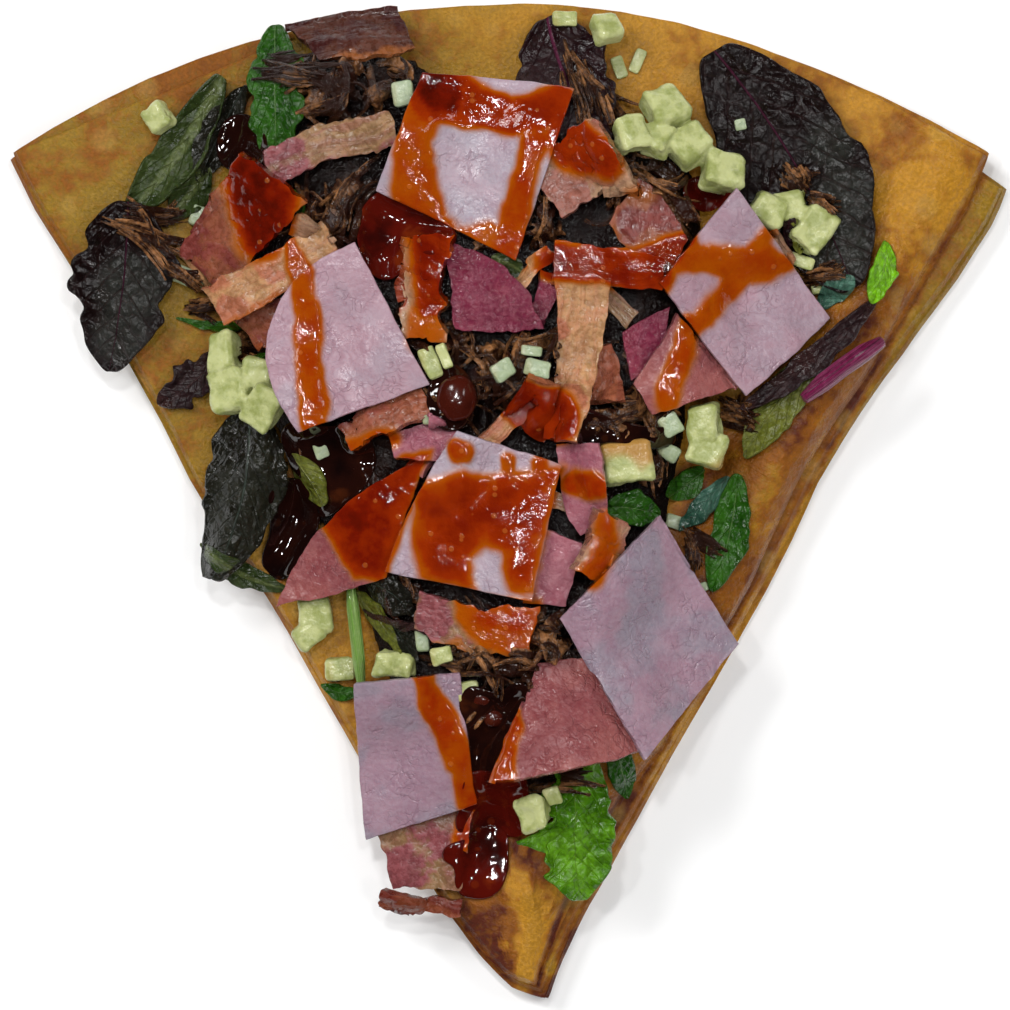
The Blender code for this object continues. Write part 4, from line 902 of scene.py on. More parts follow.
def buildCrepe():
    piece = nodeCopy("crepe", "foldedCrepe")
    subdivide(piece, 3, kind="SIMPLE")
    sharp = pointsOf(piece)
    smoothPiece(piece, 16)
    # the smoothed sides are held near the CAD outline
    points = pointsOf(piece)
    hold = 0.45 + 0.4 * ramp(20, 60, crepePlaces(sharp)[2])
    points[:, :2] += hold[:, None] * (sharp - points)[:, :2]
    side, along, far = crepePlaces(points)
    top = ramp(8.0, 11.0, points[:, 2])
    puff = 0.45 * softNoise(points, 16, 1) + 0.2 * softNoise(points, 5, 4) + 0.08 * softNoise(points, 2, 6)
    puff += 0.35 * (1 - ramp(30, 50, far)) * softNoise(points, 7, 8)
    points += normalsOf(piece) * (puff * (0.3 + 0.7 * top))[:, None]
    points[:, 2] = np.maximum(points[:, 2], 0)
    blister, ring = np.zeros(len(points)), np.zeros(len(points))
    for x, y, radius in crepeBlisters:
        away = np.hypot(points[:, 0] - x, points[:, 1] - y)
        points[:, 2] += 0.3 * hump(away, radius, 0.6) * top
        ring = np.maximum(ring, hump(away, radius, 0.45))
        blister = np.maximum(blister, 1 - ramp(radius - 0.8, radius, away))
    # the roll along the right side, its seam, the groove at its inner foot, and the flat strip outside it
    onRoll = ramp(5, 7.5, side) * (1 - ramp(18, 29, side))
    onRoll *= ramp(20, 50, along) * (1 - 0.85 * ramp(160, 184, along))
    tip, long = 1 - ramp(24, 46, far), ramp(24, 44, along)
    seam, inner = hump(side, rollSeam, 0.8) * long, hump(side, rollFoot, 3) * top * long
    points[:, 2] += top * long * hump(side, rollCrown, 5) - 0.7 * inner - 0.4 * seam * top
    outer = (1 - ramp(3, 7, side)) * ramp(100, 150, along)
    leftRim = ramp(178, 200, far) * ramp(120, 170, side)
    browning = 0.16 + 0.7 * onRoll + 0.45 * tip * (0.5 + 0.8 * softNoise(points, 7, 12))
    browning += 0.25 * (1 - ramp(0, 3, side)) * (1 - outer)
    browning += 0.3 * softNoise(points, 24, 9) * (0.3 + 0.7 * onRoll)
    browning += 0.14 * leftRim + 0.22 * (1 - top) + 0.1 * ramp(110, 160, side) * ramp(140, 180, far)
    # painted shade: the seam and the groove at the roll's inner foot are browned darker, as shade in the
    # folds
    browning += 0.75 * seam + 0.3 * inner - 0.15 * outer
    paleness = 0.75 * outer + 0.8 * ramp(60, 130, side) * ramp(60, 100, far)
    for brown, pale, rise, soft, knots in crepeMarks.values():
        mark = runDepth(points[:, 0], points[:, 1], 1.0, soft, knots)
        browning, paleness = browning + brown * mark, paleness + pale * mark
        points[:, 2] += rise * mark * top
    movePoints(piece, points)
    paintMask(piece, "browning", (browning - 0.6 * blister + 0.3 * ring) / 2)
    paintMask(piece, "paleness", paleness)
    paintMask(piece, "roll", (1 - ramp(18, 30, side)) * ramp(20, 60, along))
    writeMap(piece, side / mapUnit, along / mapUnit)
    finishPiece(piece, "crepe", ("crepe",), onto=bareCrepe)


bareCrepe = newMap(0)
buildCrepe()
crepeLevel = float(np.median(bareCrepe[bareCrepe > 5]))
print("crepe done")


# The mound of pulled beef

coverNodes = [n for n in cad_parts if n.startswith(("ham_", "cooked_ham", "bacon", "cheese"))]
chunkZones = (
    # centre, radii, heading, count, longest
    ((-38, 83), (9, 4), 8, 12, 15), ((-31, 82), (7, 6), 70, 12, 12), ((-33, 76), (7, 4), 20, 8, 9),
    ((-32, 57), (8, 6), 60, 16, 13), ((-20, 88), (3, 4), 50, 6, 9), ((29, 63), (7, 5), -42, 12, 12),
    ((37, 59), (5, 5), -40, 10, 9), ((33, 56), (4, 5), -50, 7, 8), ((7, 55), (3, 6), 80, 6, 9),
    ((-5, 24), (11, 8), 30, 30, 9), ((4, 21), (5, 6), 60, 8, 8), ((19, 16), (5, 4), 20, 9, 8),
    ((27, 17), (5, 5), -40, 9, 8), ((27, 8), (4, 5), -50, 5, 8), ((-3, -28), (9, 5), -12, 22, 12),
    ((-24, -17), (6, 3), -25, 6, 8), ((9, -24), (4, 4), 40, 6, 7), ((-37, 40), (2, 2), 0, 2, 6),
    ((10, -34), (8, 6), 0, 8, 10), ((-8, -44), (4, 8), 60, 6, 8), ((-40, 2), (4, 8), 80, 8, 8),
    ((0, 38), (24, 20), 40, 30, 10), ((-14, 0), (16, 12), 20, 20, 10), ((34, 26), (10, 10), -40, 12, 9),
)
strandZones = (
    ((-36, 80), (13, 9), 20, 60, 14), ((-33, 57), (9, 7), 60, 34, 14), ((31, 61), (9, 7), -45, 40, 13),
    ((-20, 87), (4, 5), 50, 14, 10), ((6, 55), (4, 7), 80, 14, 11), ((-5, 24), (11, 9), 30, 70, 12),
    ((22, 16), (9, 5), 10, 50, 12), ((28, 8), (4, 5), -50, 16, 10), ((-3, -28), (11, 6), -14, 70, 14),
    ((-22, -17), (8, 3), -25, 24, 11), ((8, -22), (5, 6), 40, 20, 9), ((1, 38), (22, 18), 40, 50, 11),
    ((33, 27), (8, 8), -40, 24, 10), ((-38, 4), (6, 9), 80, 24, 9), ((10, -46), (9, 6), 15, 24, 12),
)


def fibreMesh(name, paths, widths, shades, sides=5, seed=12):
    # closed fibres along paths, joined into one mesh, with a UV map and a shade for each
    verts, faces, uvs, tones = [], [], [], []
    rng = np.random.default_rng(seed)
    for path, width, shade in zip(paths, widths, shades):
        count = len(path)
        run = np.gradient(path, axis=0)
        run /= np.linalg.norm(run, axis=1)[:, None] + 1e-9
        side = np.cross(run, (0, 0, 1.0))
        side /= np.linalg.norm(side, axis=1)[:, None] + 1e-9
        up = np.cross(side, run)
        taper = np.clip(np.sin(np.linspace(0.2, math.pi - 0.2, count)), 0, 1) ** rng.uniform(0.25, 0.6)
        taper *= rng.uniform(0.75, 1.2, count)
        flat, first = rng.uniform(0.6, 1.0), len(verts)
        for k in range(count):
            for s in range(sides):
                angle = 2 * math.pi * s / sides
                out = side[k] * math.cos(angle) + up[k] * math.sin(angle) * flat
                verts.append(path[k] + out * width * taper[k])
                uvs.append((k / (count - 1), s / sides))
                tones.append(shade)
        for k in range(count - 1):
            for s in range(sides):
                a, b = first + k * sides + s, first + k * sides + (s + 1) % sides
                faces.append((a, b, b + sides, a + sides))
        faces.append(tuple(first + s for s in reversed(range(sides))))
        faces.append(tuple(first + (count - 1) * sides + s for s in range(sides)))
    mesh = bpy.data.meshes.new(name)
    mesh.from_pydata([tuple(v * mm) for v in verts], [], faces)
    mesh.update()
    piece = newObject(name, mesh)
    paintMask(piece, "shade", np.array(tones))
    writeMap(piece, *np.array(uvs).T)
    return piece


def fillChunks(paths, widths, seed, density=4.6):
    # each path becomes a chunk of packed fibres
    rng = np.random.default_rng(seed)
    fibres, thin, shades = [], [], []
    for path, width in zip(paths, widths):
        run = np.gradient(path, axis=0)
        side = np.column_stack((-run[:, 1], run[:, 0])) / (np.hypot(run[:, 0], run[:, 1])[:, None] + 1e-9)
        tone = rng.uniform(0.1, 0.9)
        for _ in range(int(3 + width * density)):
            turn, away = rng.uniform(-0.35, math.pi + 0.35), rng.uniform(0.35, 1.0)
            first, last = rng.integers(0, 3), len(path) - rng.integers(0, 3)
            fibre = path[first:last].copy()
            wander = np.cumsum(rng.normal(0, 0.09, len(fibre)))
            fibre[:, :2] += side[first:last] * (math.cos(turn) * away * width + wander)[:, None]
            fibre[:, 2] += math.sin(turn) * away * width * 0.75 + np.cumsum(rng.normal(0, 0.04, len(fibre)))
            fibres.append(fibre)
            thin.append(rng.uniform(0.26, 0.5) * (0.7 + width / 4))
            shades.append(tone + rng.uniform(-0.3, 0.4))
    return fibres, thin, shades


def stampDisc(target, x, y, z, radius):
    # raises a map to a round body that lies there
    reach = max(1, int(radius / gridStep))
    i, j = int(gridIndex(x)), int(gridIndex(y))
    a, b = np.meshgrid(np.arange(-reach, reach + 1), np.arange(-reach, reach + 1), indexing="ij")
    rise = z + np.sqrt(np.clip(radius**2 - (a * gridStep) ** 2 - (b * gridStep) ** 2, 0, None)) * 0.8
    spot = (slice(max(i - reach, 0), i + reach + 1), slice(max(j - reach, 0), j + reach + 1))
    if target[spot].shape == rise.shape:
        target[spot] = np.maximum(target[spot], rise)


def scatterFibres(target, ceiling, zones, thick, seed, pile, curl, spread, sink, bare=None, steps=10):
    # fibres that lie on the target map, stay below the ceiling map and raise the target as they pile up
    rng = np.random.default_rng(seed)
    start = target.copy()
    paths, widths = [], []
    for centre, radii, heading, count, longest in zones:
        for _ in range(count):
            away, turn = math.sqrt(rng.uniform(0, 1)), rng.uniform(0, 2 * math.pi)
            x = centre[0] + radii[0] * away * math.cos(turn)
            y = centre[1] + radii[1] * away * math.sin(turn)
            length, width = longest * rng.uniform(0.45, 1.1), rng.uniform(*thick)
            angle, bend = math.radians(heading + rng.normal(0, spread)), rng.normal(0, curl)
            flat = []
            x -= math.cos(angle) * length / 2
            y -= math.sin(angle) * length / 2
            for k in range(steps):
                flat.append((x, y))
                angle += bend + rng.normal(0, curl * 0.7)
                x += math.cos(angle) * length / (steps - 1)
                y += math.sin(angle) * length / (steps - 1)
            flat = np.array(flat)
            i, j = gridIndex(flat[:, 0]), gridIndex(flat[:, 1])
            if bare is not None and (start[i, j] - bare[i, j]).min() < 0.5:
                continue
            z = np.minimum(target[i, j], start[i, j] + pile) + width * sink
            for _ in range(2):
                z[1:-1] = (z[:-2] + 2 * z[1:-1] + z[2:]) / 4
            z = np.minimum(z, ceiling[i, j] - width - 0.15)
            for k in range(steps):
                stampDisc(target, flat[k, 0], flat[k, 1], z[k], width)
            paths.append(np.column_stack((flat, z)))
            widths.append(width)
    return paths, widths


# radii, random seed, highest pile, bend, spread of headings in degrees, depth in the pile, points
chunkFall = {"thick": (1.0, 2.2), "seed": 5, "pile": 4.2, "curl": 0.08, "spread": 26, "sink": 0.3,
             "steps": 10}
strandFall = {"thick": (0.3, 0.75), "seed": 6, "pile": 5.0, "curl": 0.2, "spread": 40, "sink": 0.6,
              "steps": 12}
coreSink = 0.8       # below the CAD mound, so that the shreds stand proud of it
coreFloor = 10.4     # just above the skin of the crepe


def buildHeap():
    core = nodeCopy("beef_heap", "beefCore")
    remesh(core, 0.8, 3)
    points = pointsOf(core)
    points[:, 2] += 0.5 * softNoise(points, 2.5, 3) - coreSink
    points[:, 2] = np.maximum(points[:, 2], coreFloor)
    movePoints(core, points)
    paintMask(core, "shade", np.full(len(points), 0.4))
    alongAxis(core, (-30, -60), (30, 90))
    finishPiece(core, "beefCore", ("beef_heap",), onto=ground)
    paths, widths = scatterFibres(ground, ceiling, chunkZones, bare=bareCrepe, **chunkFall)
    chunks = fibreMesh("beefChunks", *fillChunks(paths, widths, 7))
    remesh(chunks, 0.3, 2, 0.5)
    points = pointsOf(chunks)
    # painted light: fibres standing above the pile are lighter and those down in its hollows darker, besides
    # a random tone
    lightByHeight = ramp(-0.2, 1.6, points[:, 2] - readMap(blurred(ground, 6), points))
    shade = 0.3 + 0.7 * lightByHeight + 0.35 * softNoise(points, 4.5, 5)
    shade += 0.35 * spotMask(points, -37, 80, 10, 0.4)  # paler meat at the upper left
    paintMask(chunks, "shade", shade)
    alongAxis(chunks, (-40, 80), (30, -40))
    finishPiece(chunks, "beef")
    fewer = [(*zone[:3], zone[3] // 3, zone[4]) for zone in strandZones]
    strands, thin = scatterFibres(ground, ceiling, fewer, bare=bareCrepe, **strandFall)
    tones = np.random.default_rng(3).uniform(0.1, 0.8, len(strands))
    finishPiece(fibreMesh("beefStrands", strands, thin, tones), "beef")
    print("chunks", len(paths), "strands", len(strands))


ground = bareCrepe.copy()
ceiling = newMap(1000)
for node in coverNodes:
    mapRays(ceiling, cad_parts[node].data, fromAbove=False)
buildHeap()
print("beef heap done")


# Salad leaves

leafLooks = {
    # node: base, tip, bend, material, ruffle height, lobe depth, lobes, swell, slot
    "leaf_red_right": ((40.5, 88.5), (67.5, 42), 2.5, "redLeaf", 1.2, 0.06, 3.0, 1.3, "dark_leaf"),
    "leaf_stalk_left": ((-55.5, 83.5), (-74, 56.5), 1.5, "stalkLeaf", 0.5, 0.05, 2.0, 0.9, "green_leaf"),
    "leaf_red_left": ((-73.5, 59), (-77.5, 26), 0.8, "redLeaf", 1.0, 0.14, 2.6, 1.4, "dark_leaf"),
    "leaf_dark_left": ((-49.6, 18), (-57.2, -14.5), 2.2, "nightLeaf", 0.6, 0.06, 2.4, 2.6, "dark_leaf"),
    "leaf_spinach_top": ((-45, 93.5), (-44.5, 63), 0, "spinachLeaf", 0.6, 0.13, 3.5, 0.8, "green_leaf"),
    "leaf_red_top": ((8, 95), (18, 68), -1, "bandedLeaf", 0.8, 0.10, 3.0, 0.7, "dark_leaf"),
    "leaf_tip_green": ((14.5, -47.5), (14, -77), -1, "brightLeaf", 2.2, 0.3, 3.7, 3.0, "green_leaf"),
    "leaf_green_side": ((45, 6), (40, -17), 1, "spinachLeaf", 0.3, 0.06, 1.6, 0.4, "green_leaf"),
    "leaf_olive_side": ((63, 31), (46, 9), -1, "oliveLeaf", 0.4, 0.05, 2.0, 0.4, "green_leaf"),
    "leaf_brown_side": ((72, 40), (45, 18), 1.5, "brownLeaf", 0.5, 0.08, 4.0, 0.5, "dark_leaf"),
    "leaf_lime_side": ((74, 51), (71, 39), 0.5, "limeLeaf", 0.5, 0.16, 2.0, 0.3, "green_leaf"),
    "leaf_dark_low_left": ((-55, 30), (-68, 19.5), 1, "brownLeaf", 0.6, 0.25, 2.4, 0.5, "dark_leaf"),
    "leaf_green_mid": ((19, -0.5), (30, -2), 0.5, "spinachLeaf", 0.3, 0.05, 1.5, 0.3, "green_leaf"),
}


def pieceName(node):
    first, *rest = node.split("_")
    return first + "".join(word.capitalize() for word in rest)


def ruffleLeaf(piece, base, tip, bend, ruffle, lobe, lobes, swell):
    u, v, side = alongAxis(piece, base, tip, bend)
    points = pointsOf(piece)
    edge = np.abs(v)
    around = 2 * math.pi * lobes * u
    wave = np.sin(around + 2.1 * (v > 0)) + 0.5 * np.sin(around * 2.3 + 1.7 * (v > 0))
    wide = np.abs((points[:, :2] - base) @ side)
    lobed = lobe * (np.where(v > 0, 0.3, 1.0) if piece.name == "leafTipGreen" else 1.0)
    points[:, :2] += np.outer(np.sign(v) * edge**2 * wave * lobed * wide, side)
    points[:, :2] += 0.5 * edge[:, None] ** 2 * softShift(points, 1.8, 3, 5)
    frill = 0.5 + 0.5 * np.sin(around * 1.8 + 1.3 + 2.4 * (v > 0))
    points[:, 2] += ruffle * edge**3 * frill + swell * (0.5 * (1 + softNoise(points, 8,
                                                                             2)) + 0.9 * (1 - edge**2))
    points[:, 2] += 0.1 * (1 + softNoise(points, 2.2, 4)) - 0.25 * hump(v, 0, 0.09)
    points[:, 2] += 0.3 * swell * softNoise(points, 3.6, 9) + 0.22 * swell * np.sin(6.5 * v + 2.5 * u)
    movePoints(piece, points)


paleSpots = {
    # node: patches of a lighter, greyer green (x, y, radius)
    "leaf_red_right": ((64.5, 50, 9), (66, 60, 8), (63, 70, 6)),
    "leaf_red_left": ((-73, 42, 9), (-75, 33, 7)),
}


def buildLeaf(node, base, tip, bend, material, ruffle, lobe, lobes, swell, slot):
    piece = undersideOf(node, pieceName(node))
    subdivide(piece, 3)
    ruffleLeaf(piece, base, tip, bend, ruffle, lobe, lobes, swell)
    points = pointsOf(piece)
    tone = np.zeros(len(points))
    for x, y, radius in paleSpots.get(node, ()):
        tone = np.maximum(tone, spotMask(points, x, y, radius))
    paintMask(piece, "tone", 0.55 * tone)
    thicken(piece, 0.5, 0)
    finishPiece(piece, material, (node,), 80, ground)


for node, values in leafLooks.items():
    buildLeaf(node, *values)
for node, base, tip, material, slot in (
        ("stem_purple", (73.2, 31.8), (57.5, 20.4), "purpleStem", "stem"),
        ("stem_green", (-30.4, -15.5), (-28.2, -35.5), "greenStem", "green_leaf")):
    stem = nodeCopy(node, pieceName(node))
    subdivide(stem, 2, kind="SIMPLE")
    smoothPiece(stem, 2)
    alongAxis(stem, base, tip)
    finishPiece(stem, material, (node,), onto=ground)
print("leaves done")


# Diced cheese

def buildCheese(node):
    piece = nodeCopy(node, pieceName(node))
    remesh(piece, 0.32, 1)
    points = pointsOf(piece)
    points[:, :2] += 0.7 * softShift(points, 4.5, 2, 5)
    chips = 0.5 * softNoise(points, 3.4, 6) + 0.22 * softNoise(points, 1.2, 2)
    points += normalsOf(piece) * (chips * (0.35 + 0.65 * ramp(0, 0.3, softNoise(points, 6, 1))))[:, None]
    movePoints(piece, points)
    stain = np.zeros(len(points))
    if node == "cheese_sauced":
        stain = ramp(-0.4, 0.4, softNoise(points, 4.0, 8) + 0.25 * (points[:, 1] - 8)) * 0.85
    if node == "cheese_mid_right":
        stain = ramp(3.5, 7.5, 0.55 * (points[:, 0] - 38) - 0.75 * (points[:, 1] - 13)) * 0.8
    paintMask(piece, "stain", stain)
    finishPiece(piece, "cheese", (node,), onto=ground)


def layDie(index, x, y, wide, deep, high, turn, material):
    # a loose block of cheese with broken faces
    z = float(readMap(blurred(ground, 2), (x, y))) + high * 0.32
    z = min(z, float(ceiling[gridIndex(x), gridIndex(y)]) - high * 0.5 - 0.2)
    piece = newPrimitive(f"looseCheese{index}", bpy.ops.mesh.primitive_cube_add, size=1)
    modify(piece, "BEVEL", width=0.16, segments=2)
    modify(piece, "SUBSURF", levels=3, render_levels=3, subdivision_type="SIMPLE")
    applyModifiers(piece)
    points = pointsOf(piece) * mm * (wide, deep, high)
    points += (0.10 * high) * softShift(points, 2.6, index, index + 3, index + 6)
    cos, sin = math.cos(math.radians(turn)), math.sin(math.radians(turn))
    points[:, :2] = points[:, :2] @ np.array(((cos, sin), (-sin, cos)))
    movePoints(piece, points + (x, y, z))
    paintMask(piece, "stain", ramp(0.2, 0.8, softNoise(points, 3, 2)) * 0.25)
    finishPiece(piece, material, onto=ground)


looseCheese = (
    # x, y, wide, deep, high, turn, material
    (-14.6, 27.4, 3.4, 6.4, 3.0, 24, "cheese"), (-12.0, 28.6, 2.0, 5.2, 2.6, 20, "cheese"),
    (-0.6, 25.8, 4.4, 3.6, 2.8, 30, "cloudyCheese"), (5.9, 26.2, 5.2, 3.4, 3.0, -12, "cloudyCheese"),
    (4.8, 29.6, 4.0, 2.0, 2.4, -8, "cloudyCheese"), (-32.6, -32.2, 5.4, 4.6, 3.0, 4, "cheese"),
    (-12.6, -29.2, 4.2, 3.4, 2.8, 12, "cheese"), (-16.4, -26.0, 2.6, 5.0, 2.6, 4, "cloudyCheese"),
    (8.9, -56.4, 3.0, 3.6, 2.6, 20, "cheese"), (-63.0, 44.6, 8.4, 3.4, 2.8, -22, "cloudyCheese"),
    (-60.4, 56.4, 2.6, 4.2, 2.6, -20, "cloudyCheese"), (-20.0, 79.6, 4.4, 4.8, 3.2, 10, "cloudyCheese"),
    (31.4, 10.2, 4.4, 3.0, 2.6, -30, "cloudyCheese"), (31.8, 15.4, 4.0, 4.4, 2.6, 30, "cloudyCheese"),
    (38.0, -16.2, 2.4, 1.8, 1.4, 20, "cloudyCheese"), (33.0, -3.4, 4.0, 2.6, 1.6, -20, "cloudyCheese"),
    (-14.4, 16.4, 3.4, 2.0, 2.0, 0, "cloudyCheese"), (57.4, 47.4, 5.0, 2.4, 2.0, -20, "cheese"),
    (60.8, 42.4, 2.6, 2.8, 2.0, 10, "cheese"), (11.4, 94.6, 4.6, 3.0, 2.4, 0, "cheese"),
    (22.0, 85.4, 2.4, 4.4, 0.9, 20, "cheese"), (25.6, 86.6, 2.2, 4.8, 0.9, -24, "cheese"),
    (45.6, 74.0, 2.2, 2.2, 0.9, 10, "cloudyCheese"), (-45.6, 22.4, 2.4, 2.6, 2.0, 30, "cheese"),
    (-7.4, -36.4, 4.0, 4.0, 2.6, 10, "cheese"), (-36.0, 10.6, 2.6, 3.4, 1.6, 20, "cloudyCheese"),
)
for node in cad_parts:
    if node.startswith("cheese"):
        buildCheese(node)
for index, values in enumerate(looseCheese):
    layDie(index, *values)
print("cheese done")


# Small sheets that lie between the large pieces

def laySheet(name, base, tip, width, bend, widest, material, lift, thickness, shape):
    # a leaf or flap laid on the pile, under whatever covers it
    piece = newPrimitive(name, bpy.ops.mesh.primitive_grid_add, x_subdivisions=40, y_subdivisions=20, size=2)
    flat = pointsOf(piece) * mm
    u, v = (flat[:, 0] + 1) / 2, flat[:, 1]
    run = np.array(tip, float) - base
    length = np.hypot(*run)
    side = np.array((-run[1], run[0])) / length
    if shape == "leaf":
        toTip = (u - widest) / (1 - widest)
        belly = np.where(u < widest, np.sin(math.pi / 2 * u / widest), np.cos(math.pi / 2 * toTip))
        half = width / 2 * (0.12 + 0.88 * np.clip(belly, 0, 1) ** 0.8)
    else:
        half = width / 2 * (1 + (widest - 1) * u)
    xy = np.array(base) + np.outer(u, run) + np.outer(half * v + 4 * bend * u * (1 - u), side)
    ragged = np.column_stack((xy, np.zeros(len(xy))))
    xy += (0.45 if shape == "leaf" else 0.35) * softShift(ragged, 2.0, 2, 6)
    z = readMap(softGround, xy) + lift + 0.35 * softNoise(ragged, 4, 7)
    z = np.maximum(z, crepeLevel)  # what reaches past the side stays level with the pancake
    z = np.minimum(z, readMap(softCeiling, xy) - thickness - 0.2)
    movePoints(piece, np.column_stack((xy, z)))
    alongAxis(piece, base, tip, bend)
    paintFilm(piece)
    thicken(piece, thickness, 0)
    finishPiece(piece, material, onto=ground)


smallLeaves = {
    # base, tip, width, bend, widest, material, lift
    "tealStrip": ((43.4, 5.2), (33.6, -5.0), 4.4, 0.2, 0.5, "tealLeaf", 0.7),
    "leafBehindTeal": ((38.6, 7.0), (31.0, 1.6), 5.6, 0.5, 0.5, "spinachLeaf", 0.2),
    "leafUnderCentre": ((-27.4, -14.0), (-18.0, -21.6), 6.0, 0.6, 0.5, "nightLeaf", 0.3),
    "leafLowMid": ((-22.6, -22.0), (-18.0, -31.6), 5.0, 0.4, 0.5, "nightLeaf", 0.3),
    "bladeOlive": ((-30.6, -16.4), (-20.6, -29.6), 3.4, 1.2, 0.4, "oliveLeaf", 0.5),
    "stalkBrown": ((-27.8, -20.4), (-9.6, -25.4), 1.5, -0.8, 0.5, "brownLeaf", 1.0),
    "bladeLowLeft": ((-36.4, -35.4), (-28.6, -37.0), 3.0, -0.5, 0.5, "spinachLeaf", 0.3),
    "wedgeGreen": ((-41.4, 9.6), (-35.2, -0.4), 5.2, 0.4, 0.45, "oliveLeaf", 1.4),
    "bladeLeft": ((-64.6, 36.4), (-51.6, 34.4), 2.0, -0.5, 0.8, "spinachLeaf", 0.5),
    "bladeLeftLow": ((-52.2, 25.2), (-46.0, 28.8), 1.2, 0.6, 0.6, "spinachLeaf", 2.6),
    "leafByLime": ((57.6, 61), (57.0, 48.6), 2.6, -0.6, 0.5, "oliveLeaf", 0.9),
    "leafBitPurple": ((54.4, 58), (54.8, 49.6), 3.0, 0.4, 0.5, "bandedLeaf", 0.9),
    "leafGreyPatch": ((61.0, 38.6), (67.4, 44.0), 5.0, 0.3, 0.5, "tealLeaf", 0.4),
    "leafUnderPool": ((-50.6, 82), (-60.4, 63.0), 7.0, -0.6, 0.6, "nightLeaf", 0.3),
    "leafOliveBit": ((-2.8, 48.0), (3.6, 44.4), 4.0, 0.3, 0.5, "stalkLeaf", 1.4),
    "leafLowRight": ((21.4, -44.5), (23.8, -57.4), 5.4, -0.5, 0.5, "spinachLeaf", 0.5),
    "leafBelowStalk": ((-58.4, 66), (-66.0, 55.4), 7.0, 0.4, 0.5, "stalkLeaf", 0.3),
    "leafHollow": ((-59.6, -7.6), (-43.0, -16.4), 4.6, -1.6, 0.5, "stalkLeaf", 0.3),
    "leafByHam": ((-41.6, 61.0), (-39.6, 56.0), 2.8, 0.2, 0.5, "spinachLeaf", 0.4),
}
flaps = {
    # base, tip, width, bend, end width over base width, material, lift, thickness
    "flapRed": ((2.0, 21.6), (9.8, 17.0), 9.4, 0.3, 1.2, "redBacon", 1.0, 1.2),
    "flapBrown": ((18.4, 31.0), (19.6, 19.4), 4.0, 0.3, 1.7, "redBacon", 0.6, 1.2),
    "flapPinkStrip": ((14.4, 44.0), (24.4, 35.6), 4.4, 0.4, 0.8, "pinkBacon", 0.5, 1.2),
    "flapWine": ((8.8, 45.0), (5.6, 35.0), 4.6, 0.3, 0.7, "wineHam", 0.9, 1.2),
    "flapTan": ((1.0, 40.6), (8.4, 49.4), 2.6, 0.2, 1.0, "bacon", 1.6, 1.1),
    "flapPinkCentre": ((-12.4, 16.6), (-17.4, 6.6), 4.2, 0.3, 1.0, "pinkHam", 1.4, 1.1),
    "flapBeige": ((7.4, 1.4), (13.4, -1.0), 3.2, 0.2, 0.8, "tanBacon", 1.4, 1.0),
    "flapCurl": ((-41.0, 54.6), (-34.0, 49.4), 4.4, 0.4, 0.8, "tanBacon", 1.2, 1.1),
    "flapRimLow": ((-63.6, 50.6), (-57.4, 43.4), 3.4, 0.3, 0.9, "bacon", 1.0, 1.2),
    "flapRightEdge": ((51.0, 53.6), (55.8, 47.0), 2.0, 0.2, 0.9, "tanBacon", 1.4, 1.0),
}
softGround = blurred(ground, 5)
softCeiling = newMap(0) + np.minimum(ceiling, 60)
for name, (base, tip, width, bend, widest, material, lift) in smallLeaves.items():
    slot = "dark_leaf" if material in ("nightLeaf", "brownLeaf", "bandedLeaf") else "green_leaf"
    laySheet(name, base, tip, width, bend, widest, material, lift, 0.45, "leaf")
softGround = blurred(ground, 3)
for name, (base, tip, width, bend, widest, material, lift, thickness) in flaps.items():
    slot = "cooked_ham" if material.endswith("Ham") else "bacon"
    laySheet(name, base, tip, width, bend, widest, material, lift, thickness, "flap")
print("small sheets done")


# Beef bundles

bundleLooks = {
    # node: centre, length, heading, fibres, spread across
    "beef_bundle_left": ((-69.6, 53.8), 17, -20, 14, 3.4),
    "beef_bundle_tip": ((9.0, -51.5), 18, 14, 12, 2.4),
    "beef_bundle_side": ((37.6, -8.4), 11, -48, 9, 2.4),
}
openBundles = {
    "bundleOverSpinach": ((-42.4, 84.6), 15, -6, 7, 2.2),
    "bundleRightLow": ((61.6, 45.0), 9, 14, 7, 1.0), "bundleRightHigh": ((61.6, 58.6), 9, -30, 6, 1.2),
    "bundleRightTop": ((56.6, 63.4), 7, -50, 8, 2.0), "bundleBelowCheese": ((45.4, 17.4), 9, -12, 10, 2.4),
    "bundleLeftStrip": ((-62.4, 44.6), 13, -28, 5, 0.9), "bundleLeftCrumb": ((-51.0, 30.4), 6, 10, 12, 2.2),
    "bundleLeftLow": ((-59.0, 38.4), 8, -4, 6, 1.2), "bundleUnderTop": ((15.4, 80), 20, -72, 8, 1.6),
    "bundleUnderTopRight": ((19.8, 76), 14, -70, 6, 1.0),
}


bundleFall = {"thick": (0.5, 1.0), "pile": 2.4, "curl": 0.05, "spread": 8, "sink": 0.35}


def buildBundle(name, centre, length, heading, count, across, nodes=()):
    turn = math.radians(heading)
    zones = []
    for k in range(count):
        off = across * (2 * (k + 0.5) / count - 1)
        spot = (centre[0] - math.sin(turn) * off, centre[1] + math.cos(turn) * off)
        zones.append((spot, (length * 0.12, 0.4), heading, 1, length))
    room = ceiling if not nodes else newMap(1000)
    seed = count + int(abs(centre[0]))
    paths, widths = scatterFibres(ground, room, zones, seed=seed, **bundleFall)
    finishPiece(fibreMesh(name, *fillChunks(paths, widths, seed, 4.0)), "beef", nodes)


for node, values in bundleLooks.items():
    buildBundle(pieceName(node), *values, nodes=(node,))
for name, values in openBundles.items():
    buildBundle(name, *values)
print("bundles done")


# Cooked ham and bacon

